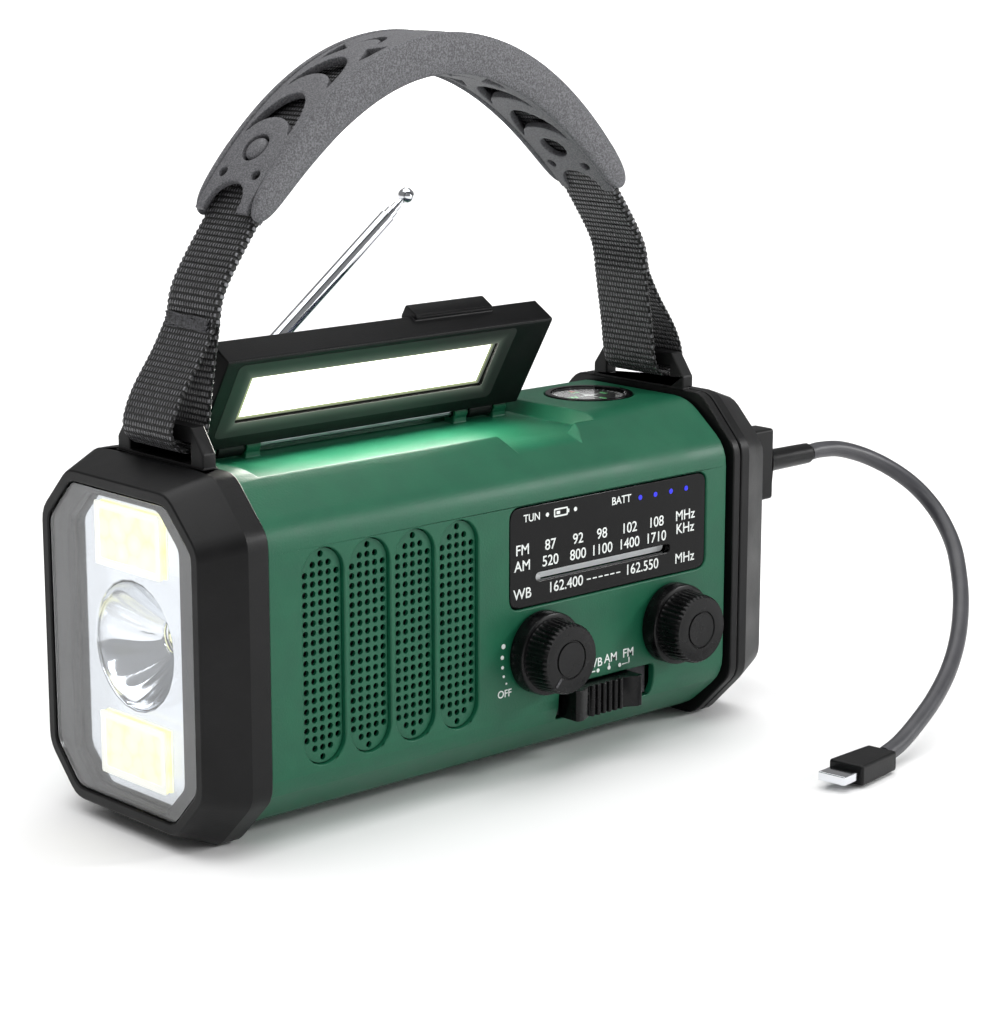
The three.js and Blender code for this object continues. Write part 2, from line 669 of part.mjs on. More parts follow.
function lens() {
  const from = -(RIM_X - LENS_RECESS);
  return extrudeX(roundedOutline(rimOctagon(RIM_WIDTH + GAP), 2), from, from + LENS_THICKNESS, 3);
}

add('lamp_lens', lens(), clearPlastic);
add('lamp_reflector', reflector(), chrome);
for (const [side, z] of Object.entries(COB_CENTRES)) {
  const low = z - COB_HEIGHT / 2;
  const front = REFLECTOR_X - GAP - COB_THICKNESS;
  const plate = box(front, front + COB_THICKNESS, -COB_HALF_WIDTH, COB_HALF_WIDTH, low, low + COB_HEIGHT);
  add(`cob_lamp_${side}`, plate, lampYellow);
}
const LED_X = REFLECTOR_X + CUP_DEPTH;
const ledProfile = [[0, LED_X - 2], [1.6, LED_X - 1.6], [3, LED_X], [3.4, LED_X + 1.6], [0, LED_X + 1.6]];
add('torch_led', turnedX(ledProfile, 0, CUP_Z, 16), lampYellow);

// ---- speaker
// One plate behind the shell, with a raised panel that fills each slot.
function speakerGrille() {
  const back = -SHELL_HALF_DEPTH + WALL + GAP;
  const last = SLOT_FIRST_X + (SLOT_COUNT - 1) * SLOT_PITCH;
  const reach = SLOT_WIDTH / 2 + 1;
  const plate = roundedRectangle(
    SLOT_FIRST_X - reach, last + reach, SLOT_Z - SLOT_HEIGHT / 2 - 2, SLOT_Z + SLOT_HEIGHT / 2 + 2, 6,
  );
  const panels = [];
  for (let i = 0; i < SLOT_COUNT; i += 1) {
    panels.push(extrudeY(slotShape(i, GAP), -SHELL_HALF_DEPTH + GRILLE_RECESS, back + 0.5, 8));
  }
  return join(extrudeY(plate, back, back + GRILLE_THICKNESS, 4), ...panels);
}

add('speaker_grille', speakerGrille(), greenPlastic);
const SPEAKER_X = SLOT_FIRST_X + (SLOT_PITCH * (SLOT_COUNT - 1)) / 2;
const SPEAKER_FRONT = -SHELL_HALF_DEPTH + WALL + GRILLE_THICKNESS + 2 * GAP;
const speakerProfile = [
  [0, 5], [7, 5.4], [SPEAKER_RADIUS - 4, 1], [SPEAKER_RADIUS - 1, 0], [SPEAKER_RADIUS, 0], [SPEAKER_RADIUS, 1.4],
  [SPEAKER_RADIUS - 4, 2.4], [14, 9], [14, 18], [0, 18],
];
add('speaker', turned(speakerProfile, 24).translate(SPEAKER_X, SPEAKER_FRONT, SLOT_Z), blackPlastic);

// ---- dial
function scaleShape(inset = 0) {
  const radius = SCALE_HEIGHT / 2 - inset;
  return stadium(SCALE_LEFT + SCALE_HEIGHT / 2, SCALE_Z, SCALE_RIGHT - SCALE_HEIGHT / 2, SCALE_Z, radius);
}

const WINDOW_FRONT = -SHELL_HALF_DEPTH + 0.2;
const WINDOW_BACK = WINDOW_FRONT + WINDOW_THICKNESS;
const dialPlate = toSolid(extrudeY(dialShape(GAP), WINDOW_FRONT, WINDOW_BACK, 5));
add(
  'dial_window',
  cut(dialPlate, extrudeY(scaleShape(), WINDOW_FRONT - PAST, WINDOW_BACK + PAST, 6)), glossBlack,
);
const pointerBox = box(
  SCALE_LEFT, SCALE_LEFT + POINTER_WIDTH, WINDOW_BACK + GAP, WINDOW_BACK + GAP + 1, SCALE_Z - 2.4, SCALE_Z + 2.4,
);
add('tuning_pointer', pointerBox, palePlastic);

// ---- knobs
function flutedOutline(x, z) {
  const points = [];
  for (let i = 0; i < KNOB_FLUTES * 2; i += 1) {
    const angle = (Math.PI * i) / KNOB_FLUTES;
    const radius = KNOB_BARREL_RADIUS - (i % 2) * KNOB_FLUTE_DEPTH;
    points.push([x + radius * Math.cos(angle), z + radius * Math.sin(angle)]);
  }
  return polygon(points);
}

function knob({ x, z }) {
  const back = -SHELL_HALF_DEPTH - GAP;
  const skirtFront = back - KNOB_SKIRT_DEPTH;
  const front = -SHELL_HALF_DEPTH - KNOB_HEIGHT;
  const body = join(
    rodY(skirtFront, back, x, z, KNOB_SKIRT_RADIUS, 32),
    extrudeY(flutedOutline(x, z), front + 0.8, skirtFront + 0.5),
    rodY(front, front + 1, x, z, KNOB_BARREL_RADIUS - 1, 26),
  );
  return cut(body, rodY(front + 3, back + PAST, x, z, SHAFT_RADIUS + GAP));
}

function knobShaft({ x, z }) {
  return rodY(-SHELL_HALF_DEPTH - KNOB_HEIGHT + 3 + GAP, POT_FRONT - GAP, x, z, SHAFT_RADIUS, 16);
}

const POT_FRONT = -SHELL_HALF_DEPTH + WALL + 2 * GAP;
add('volume_knob', knob(VOLUME), blackPlastic);
add('volume_shaft', knobShaft(VOLUME), steel);
add('volume_control', rodY(POT_FRONT, POT_FRONT + 8, VOLUME.x, VOLUME.z, 8, 24), steel);
add('tuning_knob', knob(TUNING), blackPlastic);
add('tuning_shaft', knobShaft(TUNING), steel);
const capacitorSides = [
  TUNING.x - 10, TUNING.x + 10, POT_FRONT, POT_FRONT + 10, TUNING.z - 10, TUNING.z + 10,
];
add('tuning_capacitor', box(...capacitorSides), palePlastic);

// ---- band switch
function sliderShape() {
  const left = SWITCH_LEFT + SLIDER_START;
  const right = left + SLIDER_LENGTH;
  const front = -SHELL_HALF_DEPTH - SLIDER_PROUD;
  const back = -SHELL_HALF_DEPTH + WALL;
  const middle = (left + right) / 2;
  const points = [[left, back], [left, front + 0.6], [left + 0.6, front], [left + 2.2, front]];
  const first = middle - (SLIDER_RIBS * SLIDER_RIB_PITCH) / 2;
  for (let i = 0; i < SLIDER_RIBS; i += 1) {
    const start = first + i * SLIDER_RIB_PITCH;
    points.push([start + 0.15, front + 1.9]);
    points.push([start + 0.55, front + 1]);
    points.push([start + 1.35, front + 1]);
    points.push([start + 1.75, front + 1.9]);
  }
  points.push([right - 2.2, front], [right - 0.6, front], [right, front + 0.6], [right, back]);
  return polygon(points);
}

add('band_slider', extrudeZ(sliderShape(), SWITCH_LOW + 0.4, SWITCH_HIGH - 0.4), blackPlastic);
const switchBox = box(
  SWITCH_LEFT + 1, SWITCH_RIGHT - 1, -SHELL_HALF_DEPTH + WALL + GAP, -SHELL_HALF_DEPTH + WALL + 7,
  SWITCH_LOW + 0.8, SWITCH_HIGH - 0.8,
);
add('band_switch', switchBox, steel);

// ---- compass
const COMPASS_TOP = SHELL_HIGH + 0.3;
const cupFloor = COMPASS_TOP - COMPASS_DEPTH;
const cupInner = COMPASS.radius - COMPASS_WALL;
const glassTop = COMPASS_TOP - 0.2;
const cardTop = glassTop - COMPASS_GLASS - GAP;
const cup = [
  [0, cupFloor], [COMPASS.radius, cupFloor], [COMPASS.radius, COMPASS_TOP], [cupInner, COMPASS_TOP],
  [cupInner, cupFloor + 1.2], [0, cupFloor + 1.2],
];
add('compass_housing', turnedZ(cup, COMPASS.x, COMPASS.y, 36), blackPlastic);
add(
  'compass_card',
  rodZ(cardTop - COMPASS_CARD, cardTop, COMPASS.x, COMPASS.y, cupInner - 2 * GAP, 32), blackPlastic,
);
add(
  'compass_window',
  rodZ(glassTop - COMPASS_GLASS, glassTop, COMPASS.x, COMPASS.y, cupInner - GAP, 36), clearPlastic,
);

// ---- flip-up lamp and solar panel, drawn closed about its hinge axis and then opened
const panel = new THREE.Group();
panel.position.set(0, HINGE_Y, HINGE_Z);
panel.rotation.x = radians(-PANEL_OPEN);
radio.add(panel);

function panelFrame() {
  const e = PANEL_EDGE;
  const section = polygon([
    [PANEL_FRONT, PANEL_UNDER + 0.4], [PANEL_FRONT + 0.4, PANEL_UNDER], [PANEL_REAR, PANEL_UNDER],
    [PANEL_REAR, PANEL_TOP - e], [PANEL_REAR - e, PANEL_TOP], [PANEL_FRONT + e, PANEL_TOP],
    [PANEL_FRONT, PANEL_TOP - e],
  ]);
  const pocket = LAMP_WINDOW;
  const sun = SOLAR_POCKET;
  let frame = toSolid(extrudeX(section, PANEL_LEFT, PANEL_RIGHT));
  for (const x of KNUCKLE_STARTS) {
    frame = frame.add(toSolid(rodX(x, x + KNUCKLE_LENGTH, 0, 0, KNUCKLE_RADIUS)));
  }
  const tab = roundedRectangle(PANEL_FRONT - 1.4, PANEL_FRONT + 2.8, PANEL_TOP - 3.4, PANEL_TOP + 1.8, 0.8);
  frame = frame.add(toSolid(extrudeX(tab, -5, 21, 3)));
  const cuts = [
    box(
      pocket.left, pocket.right, pocket.front, pocket.rear,
      PANEL_UNDER - PAST, PANEL_UNDER + LAMP_POCKET_DEPTH,
    ),
    box(sun.left, sun.right, sun.front, sun.rear, PANEL_TOP - SOLAR_POCKET_DEPTH, PANEL_TOP + PAST),
    rodX(PANEL_LEFT - PAST, PANEL_RIGHT + PAST, 0, 0, PIN_RADIUS + GAP, 14),
  ];
  for (const post of hingePosts()) {
    cuts.push(rodX(post.from - GAP, post.to + GAP, 0, 0, KNUCKLE_RADIUS + 0.5));
  }
  return cut(frame, ...cuts);
}

function panelPlate(sides, from, to) {
  return box(sides.left + GAP, sides.right - GAP, sides.front + GAP, sides.rear - GAP, from, to);
}

addTo(panel, 'panel_frame', panelFrame(), blackPlastic);
const LAMP_LENS_FROM = PANEL_UNDER + 0.9;
addTo(
  panel, 'reading_lamp_lens',
  panelPlate(LAMP_WINDOW, LAMP_LENS_FROM, PANEL_UNDER + LAMP_POCKET_DEPTH - GAP), lampYellow,
);
const solarTop = PANEL_TOP - 0.2;
addTo(panel, 'solar_panel', panelPlate(SOLAR_POCKET, solarTop - 1, solarTop), solarBlue);
const pinEnds = [hingePosts()[0].from, hingePosts().at(-1).to];
add('panel_hinge_pin', rodX(...pinEnds, HINGE_Y, HINGE_Z, PIN_RADIUS, 12), steel);

// ---- antenna: a fork in the groove, and four tubes that slide in each other
const EAR = 1.1;
const earOffset = GROOVE_HALF - GAP - EAR;

function antennaFork() {
  const low = GROOVE_FLOOR + GAP;
  const sides = [ANTENNA.y - GROOVE_HALF + GAP, ANTENNA.y + GROOVE_HALF - GAP];
  const base = box(ANTENNA.x - 4, ANTENNA.x + 4, ...sides, low, low + 0.9);
  const ears = [-1, 1].map((side) => {
    const inner = ANTENNA.y + side * earOffset;
    const outer = inner + side * EAR;
    return extrudeY(
      stadium(ANTENNA.x, low + 2.4, ANTENNA.x, ANTENNA.z, 2.3),
      Math.min(inner, outer), Math.max(inner, outer), 8,
    );
  });
  const pin = rodY(ANTENNA.y - earOffset - EAR, ANTENNA.y + earOffset + EAR, ANTENNA.x, ANTENNA.z, 0.8, 12);
  return join(base, ...ears, pin);
}

add('antenna_fork', antennaFork(), steel);

const antenna = new THREE.Group();
antenna.position.set(ANTENNA.x, ANTENNA.y, ANTENNA.z);
antenna.rotation.y = radians(-ANTENNA_RAISED);
radio.add(antenna);

// A tube closed at its foot and open at its tip, or a rod where it has no bore.
function antennaTube(index) {
  const [outer, bore] = ANTENNA_RADII[index];
  const start = ANTENNA_START + index * 2;
  const end = ANTENNA_REACH + index * ANTENNA_STEP;
  const tube = toSolid(rodX(start, end, 0, 0, outer, 14));
  return bore > 0 ? cut(tube, rodX(start + 1.4, end + PAST, 0, 0, bore, 14)) : tube;
}

function antennaFoot() {
  const knuckle = extrudeY(stadium(0, 0, ANTENNA_START - 0.8, 0, 2), -earOffset + GAP, earOffset - GAP, 8);
  return cut(antennaTube(0).add(toSolid(knuckle)), rodY(-PAST, PAST, 0, 0, 0.8 + GAP, 12));
}

function antennaTip() {
  const last = ANTENNA_RADII.length - 1;
  const end = ANTENNA_REACH + last * ANTENNA_STEP;
  const ball = new THREE.SphereGeometry(ANTENNA_BALL, 12, 7).translate(end + 1.4, 0, 0);
  return antennaTube(last).add(toSolid(ball));
}

addTo(antenna, 'antenna_section_1', antennaFoot(), chrome);
addTo(antenna, 'antenna_section_2', antennaTube(1), chrome);
addTo(antenna, 'antenna_section_3', antennaTube(2), chrome);
addTo(antenna, 'antenna_section_4', antennaTip(), chrome);

// ---- crank and generator
function gearOutline(x, z, teeth, phase) {
  const pitch = (teeth * GEAR_MODULE) / 2;
  const tip = pitch + 0.8 * GEAR_MODULE;
  const root = pitch - 1.1 * GEAR_MODULE;
  const step = (2 * Math.PI) / teeth;
  const points = [];
  for (let i = 0; i < teeth; i += 1) {
    const middle = phase + i * step;
    for (const [radius, share] of [[root, -0.3], [tip, -0.1], [tip, 0.1], [root, 0.3]]) {
      const angle = middle + share * step;
      points.push([x + radius * Math.cos(angle), z + radius * Math.sin(angle)]);
    }
  }
  return polygon(points);
}

const PINION_X = CRANK.x + ((GEAR_TEETH + PINION_TEETH) * GEAR_MODULE) / 2;
const GEAR_OUT = GEAR_IN + GEAR_WIDTH;
const PLATE_OUT = GEAR_IN - 1.5;
const PLATE_IN = PLATE_OUT - 1.5;
const ARM_MIDDLE = (CRANK_ARM_IN + CRANK_ARM_OUT) / 2;
const CRANK_TIP = CRANK.x + CRANK_ARM_RADIUS;
const GRIP_FROM = CRANK_TIP - 5 - CRANK_GRIP_LENGTH;

function crankArm() {
  const outline = stadium(CRANK.x, CRANK.z, CRANK_TIP, CRANK.z, CRANK_ARM_HALF_WIDTH);
  const hubOut = SHELL_HALF_DEPTH + KNOB_HEIGHT; // level with the knobs on the other side
  const body = join(
    extrudeY(outline, CRANK_ARM_IN, CRANK_ARM_OUT, 12),
    rodY(CRANK_ARM_OUT - 1, hubOut, CRANK.x, CRANK.z, 7, 28),
  );
  const slotHalf = CRANK_GRIP_RADIUS + 0.8;
  return cut(
    body,
    box(
      GRIP_FROM - 1, CRANK_TIP + 3.4, CRANK_ARM_IN - PAST,
      CRANK_ARM_OUT + PAST, CRANK.z - slotHalf, CRANK.z + slotHalf,
    ),
    rodZ(CRANK.z - PAST * 2, CRANK.z + PAST * 2, CRANK_TIP, ARM_MIDDLE, 1 + GAP, 12),
    rodY(CRANK_ARM_IN - PAST, CRANK_ARM_OUT, CRANK.x, CRANK.z, SHAFT_RADIUS + GAP),
  );
}

// The folding handle: a knuckle with its cross pin, and the spindle that the grip turns on.
function crankHandle() {
  return join(
    rodZ(CRANK.z - 4.6, CRANK.z + 4.6, CRANK_TIP, ARM_MIDDLE, 2.1, 16),
    rodZ(CRANK.z - 7, CRANK.z + 7, CRANK_TIP, ARM_MIDDLE, 1, 12),
    rodX(GRIP_FROM, CRANK_TIP, ARM_MIDDLE, CRANK.z, 1.6, 14),
  );
}

function crankGrip() {
  const tube = rodX(GRIP_FROM, GRIP_FROM + CRANK_GRIP_LENGTH, ARM_MIDDLE, CRANK.z, CRANK_GRIP_RADIUS, 20);
  return cut(toSolid(tube), rodX(GRIP_FROM - PAST, CRANK_TIP, ARM_MIDDLE, CRANK.z, 1.6 + GAP, 14));
}

function gear(x, teeth, phase, bore) {
  const blank = toSolid(extrudeY(gearOutline(x, CRANK.z, teeth, phase), GEAR_IN, GEAR_OUT));
  return cut(blank, rodY(GEAR_IN - PAST, GEAR_OUT + PAST, x, CRANK.z, bore, 16));
}

function gearPlate() {
  const plate = toSolid(
    extrudeY(roundedRectangle(CRANK.x - 9, PINION_X + 13, CRANK.z - 12, CRANK.z + 12, 4), PLATE_IN, PLATE_OUT, 3),
  );
  return cut(
    plate,
    rodY(PLATE_IN - PAST, PLATE_OUT + PAST, CRANK.x, CRANK.z, SHAFT_RADIUS + GAP, 16),
    rodY(PLATE_IN - PAST, PLATE_OUT + PAST, PINION_X, CRANK.z, 1 + GAP, 12),
  );
}

add('crank_arm', crankArm(), blackPlastic);
add('crank_shaft', rodY(PLATE_IN - 6, CRANK_ARM_OUT - GAP, CRANK.x, CRANK.z, SHAFT_RADIUS, 16), steel);
add('crank_handle', crankHandle(), steel);
add('crank_grip', crankGrip(), blackPlastic);
add('crank_gear', gear(CRANK.x, GEAR_TEETH, 0, SHAFT_RADIUS + GAP), palePlastic);
const pinionPhase = Math.PI + Math.PI / PINION_TEETH;
const pinionShaft = rodY(PLATE_IN + GAP, GEAR_OUT + 1, PINION_X, CRANK.z, 1, 12);
add(
  'generator_pinion', gear(PINION_X, PINION_TEETH, pinionPhase, 0.6).add(toSolid(pinionShaft)), palePlastic,
);
add('gear_plate', gearPlate(), steel);
add('generator', rodY(PLATE_IN - GAP - 14, PLATE_IN - GAP, PINION_X, CRANK.z, 11, 24), steel);

// ---- rear buttons and case screws
for (const [name, x] of Object.entries(BUTTON_XS)) {
  const inside = SHELL_HALF_DEPTH - WALL;
  const cap = [
    [0, inside - 3], [BUTTON_RADIUS + 1.2, inside - 3], [
      BUTTON_RADIUS + 1.2, inside - 1.6,
    ], [BUTTON_RADIUS, inside - 1.6],
    [BUTTON_RADIUS, inside + WALL + 0.8], [
      BUTTON_RADIUS - 0.6, inside + WALL + 1.4,
    ], [0, inside + WALL + 1.4],
  ];
  add(name, turned(cap, 18).translate(x, 0, BUTTON_Z), blackPlastic);
}
SCREWS.forEach(([x, z], index) => {
  const seat = SHELL_HALF_DEPTH - 1.3 + GAP;
  const body = join(
    rodY(seat, seat + 0.9, x, z, SCREW_HEAD_RADIUS, 12),
    rodY(SHELL_HALF_DEPTH - 15, seat + 0.5, x, z, SCREW_RADIUS, 8),
  );
  add(`case_screw_${index + 1}`, body, steel);
});

// ---- inside the case
add('battery_cell', rodX(-63, -63 + CELL_LENGTH, 8, 16.5, CELL_RADIUS, 24), cellBlue);
add('main_board', box(-6, 64, -21.6, -20, 12, 79), boardGreen);
add('ferrite_rod', rodX(-62, -8, 5, 71, 4.5, 16), ferriteGrey);

// ---- charging socket
function socket() {
  const from = RIM_X - 16;
  const y = PORT_HALF_WIDTH;
  const z = PORT_HALF_HEIGHT;
  const w = SOCKET_WALL;
  const outer = box(from, RIM_X - 1.3, PORT.y - y - w, PORT.y + y + w, PORT.z - z - w, PORT.z + z + w);
  return cut(toSolid(outer), box(from + 2, RIM_X + PAST, PORT.y - y, PORT.y + y, PORT.z - z, PORT.z + z));
}

add('usb_socket', socket(), steel);

// ---- charging plug, cable and connector
function loftedBlock(x0, halfY0, halfZ0, x1, halfY1, halfZ1) {
  const points = [];
  for (const [x, hy, hz] of [[x0, halfY0, halfZ0], [x1, halfY1, halfZ1]]) {
    for (const [sy, sz] of [[-1, -1], [-1, 1], [1, 1], [1, -1]]) {
      points.push(new THREE.Vector3(x, sy * hy, sz * hz));
    }
  }
  return new ConvexGeometry(points);
}

const shellHalf = [PORT_HALF_WIDTH - 0.5, PORT_HALF_HEIGHT - 0.5];
const plugShell = box(
  RIM_X - 12.5, PLUG_FROM - GAP,
  PORT.y - shellHalf[0], PORT.y + shellHalf[0], PORT.z - shellHalf[1], PORT.z + shellHalf[1],
);
add('plug_shell', plugShell, chrome);
const plugOutline = roundedRectangle(
  PORT.y - PLUG_HALF_THICKNESS, PORT.y + PLUG_HALF_THICKNESS,
  PORT.z - PLUG_HALF_HEIGHT, PORT.z + PLUG_HALF_HEIGHT, 0.8,
);
const boot = [
  [0, PLUG_TO - 1], [3.5, PLUG_TO - 1], [3.1, PLUG_TO + 2],
  [2.9, PLUG_TO + BOOT_LENGTH], [0, PLUG_TO + BOOT_LENGTH],
];
const plugBody = join(extrudeX(plugOutline, PLUG_FROM, PLUG_TO, 2), turnedX(boot, PORT.y, PORT.z, 16));
add('plug_body', plugBody, blackPlastic);

function cable() {
  const curve = new THREE.CatmullRomCurve3(CABLE_ROUTE.map((point) => new THREE.Vector3(...point)));
  const section = new THREE.Shape();
  section.absarc(0, 0, CABLE_RADIUS, 0, 2 * Math.PI, false);
  return new THREE.ExtrudeGeometry(
    section, { steps: 24, extrudePath: curve, bevelEnabled: false, curveSegments: 8 },
  );
}

add('charge_cable', cable(), cableGrey);

// The far end, drawn along -X and then turned to the cable's last direction.
const connector = new THREE.Group();
const cableEnd = CABLE_ROUTE.at(-1);
connector.position.set(cableEnd[0] - 1, cableEnd[1] - 0.2, cableEnd[2] - 0.2);
connector.rotation.z = radians(7);
radio.add(connector);
addTo(connector, 'connector_body', loftedBlock(-CONNECTOR_LENGTH, 5.2, 2.7, 0, 4.4, 2.6), blackPlastic);
const tipFrom = -CONNECTOR_LENGTH - GAP - 6.2;
addTo(connector, 'connector_tip', box(tipFrom, -CONNECTOR_LENGTH - GAP, -4, 4, -1.2, 1.2), chrome);

// ---- carrying handle
function gripTop(x) {
  return GRIP_HIGH - 0.0087 * x * x - 3e-7 * x ** 4;
}

function gripNormal(x) {
  const slope = -0.0174 * x - 1.2e-6 * x ** 3;
  return new THREE.Vector2(-slope, 1).normalize();
}

function gripDepth(x) {
  const share = Math.min(1, Math.abs(x) / GRIP_HALF_SPAN);
  return GRIP_DEPTH - (GRIP_DEPTH - GRIP_END_DEPTH) * share ** 4;
}

// A point at some share of the grip's depth below its top curve.
function gripPoint(x, share) {
  const normal = gripNormal(x);
  const depth = gripDepth(x) * share;
  return [x - normal.x * depth, gripTop(x) - normal.y * depth];
}

function alongGrip(count, share, reach = GRIP_HALF_SPAN) {
  const points = [];
  for (let i = 0; i <= count; i += 1) {
    points.push(gripPoint(-reach + (2 * reach * i) / count, share));
  }
  return points;
}

// The outline of a band of one thickness that follows its middle line.
function bandOutline(points, thickness) {
  const last = points.length - 1;
  const upper = [];
  const lower = [];
  points.forEach(([x, z], i) => {
    const before = new THREE.Vector2(...points[Math.max(0, i - 1)]);
    const along = new THREE.Vector2(...points[Math.min(last, i + 1)]).sub(before).setLength(thickness / 2);
    upper.push([x - along.y, z + along.x]);
    lower.push([x + along.y, z - along.x]);
  });
  return polygon([...upper, ...lower.reverse()]);
}

function bandStrip(points, thickness, halfWidth) {
  return extrudeY(bandOutline(points, thickness), -halfWidth, halfWidth);
}

function mirrorX(points, side) {
  return points.map(([x, z]) => [side * x, z]);
}

// The webbing's middle line inside the grip, and on down to the sewn joints.
function strapLine() {
  const inside = alongGrip(18, 0.5);
  const bend = JOINT.z + 13;
  return [[-JOINT.x, JOINT.z], [-67.6, bend], ...inside, [67.6, bend], [JOINT.x, JOINT.z]];
}

// The loop round the lug's bar: down the outer leg, under the bar and up the inner leg.
function loopLine(side) {
  const corners = [
    [71.7, 32.4], [76.2, 24.6], [82.4, 15.6], [85.2, 8.6], [83.9, 4.6], [80.2, 3.1], [76.4, 4.6],
    [74.6, 9], [73.6, 16.4], [72.2, 24.6], [70.9, 32.4],
  ].map(([x, z]) => [x, FLANGE_HIGH + z]);
  const curve = new THREE.SplineCurve(mirrorX(corners, side).map(([x, z]) => new THREE.Vector2(x, z)));
  return curve.getPoints(22).map((point) => [point.x, point.y]);
}

function strapLoop(side) {
  const line = loopLine(side);
  const half = line.length / 2;
  const legs = [line.slice(0, half + 1), line.slice(half - 1)];
  return join(...legs.map((leg) => bandStrip(leg, WEB_THICKNESS, WEB_WIDTH / 2)));
}

function carryStrap() {
  const band = toSolid(bandStrip(strapLine(), STRAP_THICKNESS, WEB_WIDTH / 2));
  return band.add(strapLoop(-1)).add(strapLoop(1));
}

// A prism standing on the grip's surface at x, its outline in (along the grip, across it).
function gripPrism(shape, x, from, to) {
  const normal = gripNormal(x);
  const along = new THREE.Vector3(normal.y, 0, -normal.x);
  const up = new THREE.Vector3(normal.x, 0, normal.y);
  const placed = new THREE.Matrix4().makeBasis(along, new THREE.Vector3(0, 1, 0), up.clone());
  const hand = along.clone().cross(new THREE.Vector3(0, 1, 0)).dot(up);
  const geometry = extrude(shape, to - from, 5).translate(0, 0, from);
  if (hand < 0) {
    throw new Error('grip frame is left-handed');
  }
  return geometry.applyMatrix4(placed).translate(x, 0, gripTop(x));
}

function circleShape(a, b, radius) {
  const shape = new THREE.Shape();
  shape.absarc(a, b, radius, 0, 2 * Math.PI, false);
  return shape;
}

// A crescent opening, its tips at `tips`, that bows towards the middle of the grip.
function crescent({ outer, inner, half }, side) {
  const far = [];
  const near = [];
  for (let i = 0; i <= CRESCENT_STEPS; i += 1) {
    const angle = (Math.PI * i) / CRESCENT_STEPS - Math.PI / 2;
    far.push([-side * outer * Math.cos(angle), half * Math.sin(angle)]);
    near.push([-side * inner * Math.cos(angle), half * CRESCENT_WAIST * Math.sin(angle)]);
  }
  return polygon([...far, ...near.reverse().slice(1, -1)]);
}

function gripCuts(side) {
  const through = [-GRIP_DEPTH - PAST, PAST];
  const mouth = stadium(-side * MOUTH_REACH, 0, side * MOUTH_REACH, 0, MOUTH_HALF);
  return [
    gripPrism(mouth, side * GRIP_HALF_SPAN, ...through),
    ...[-1, 1].map((flip) => {
      const hole = circleShape(0, flip * PINHOLE.y, PINHOLE.radius);
      return gripPrism(hole, side * PINHOLE.x, ...through);
    }),
    ...CRESCENTS.map((shape) => gripPrism(crescent(shape, side), side * shape.tips, ...through)),
    ...[-1, 1].map((flip) => {
      const slit = polygon(SLIT.map(([x, y]) => [side * x, flip * y]));
      return gripPrism(slit, side * SLIT_X, ...through);
    }),
  ];
}

function handleGrip() {
  const outline = polygon([...alongGrip(18, 0), ...alongGrip(18, 1).reverse()]);
  const arch = toSolid(extrudeY(outline, -GRIP_WIDTH / 2, GRIP_WIDTH / 2));
  const line = strapLine();
  const tunnel = bandStrip(line, STRAP_THICKNESS + 2 * GAP, WEB_WIDTH / 2 + GAP);
  return cut(arch, tunnel, ...gripCuts(-1), ...gripCuts(1));
}

add('carry_strap', carryStrap(), webbing);
add('handle_grip', handleGrip(), greyPlastic);

export default radio;
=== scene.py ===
"""Hand-crank emergency radio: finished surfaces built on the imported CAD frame, laid out as an add-on."""
import json
import math

import bmesh
import bpy
import numpy as np
from bpy.props import FloatProperty, FloatVectorProperty, IntProperty, PointerProperty
from mathutils import Matrix, Vector


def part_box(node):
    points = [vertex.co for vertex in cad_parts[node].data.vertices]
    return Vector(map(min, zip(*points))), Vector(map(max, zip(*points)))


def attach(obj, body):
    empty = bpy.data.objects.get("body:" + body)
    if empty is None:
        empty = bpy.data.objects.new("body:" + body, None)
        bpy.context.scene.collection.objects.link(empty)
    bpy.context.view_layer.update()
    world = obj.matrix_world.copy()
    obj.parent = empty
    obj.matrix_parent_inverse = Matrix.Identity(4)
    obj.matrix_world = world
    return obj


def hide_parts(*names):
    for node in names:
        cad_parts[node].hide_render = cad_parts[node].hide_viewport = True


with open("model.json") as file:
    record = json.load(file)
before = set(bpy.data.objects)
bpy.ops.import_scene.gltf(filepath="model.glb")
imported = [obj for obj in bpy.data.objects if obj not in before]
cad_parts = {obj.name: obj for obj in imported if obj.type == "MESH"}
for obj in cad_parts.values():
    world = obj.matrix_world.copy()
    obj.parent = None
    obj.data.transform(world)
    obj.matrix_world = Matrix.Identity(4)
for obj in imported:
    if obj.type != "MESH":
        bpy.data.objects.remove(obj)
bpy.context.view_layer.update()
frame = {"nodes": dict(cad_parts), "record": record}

bl_info = {
    "name": "Emergency Radio",
    "version": (1, 0, 0),
    "blender": (4, 5, 0),
    "location": "View3D > Sidebar > Radio",
    "description": "Builds the finished surfaces of a hand-crank emergency radio on its CAD frame",
    "category": "Object",
}

NODES = frame["nodes"]
BODIES = frame["record"]["behaviour"]["bodies"]
BODY_OF = {node: body for body, nodes in BODIES.items() for node in nodes}
MM = 0.001
TAU = 2 * math.pi
MERGE = 1e-6
INK = 0.06
PROUD = 0.03
LETTER_WEIGHT = 0.018


# ---- material helpers
def linear(hex_text):
    """An sRGB hex colour as linear red, green, blue and a full alpha."""
    values = [int(hex_text[i:i + 2], 16) / 255 for i in (1, 3, 5)]
    return [v / 12.92 if v <= 0.04045 else ((v + 0.055) / 1.055) ** 2.4 for v in values] + [1.0]


def add(tree, kind, settings=None, links=None):
    """Adds one node. Settings name its properties or its inputs, and links name its inputs' sources."""
    made = tree.nodes.new(kind)
    for key, value in (settings or {}).items():
        if isinstance(key, str) and hasattr(made, key) and key not in made.inputs:
            setattr(made, key, value)
        else:
            made.inputs[key].default_value = value
    for key, source in (links or {}).items():
        tree.links.new(source, made.inputs[key])
    return made


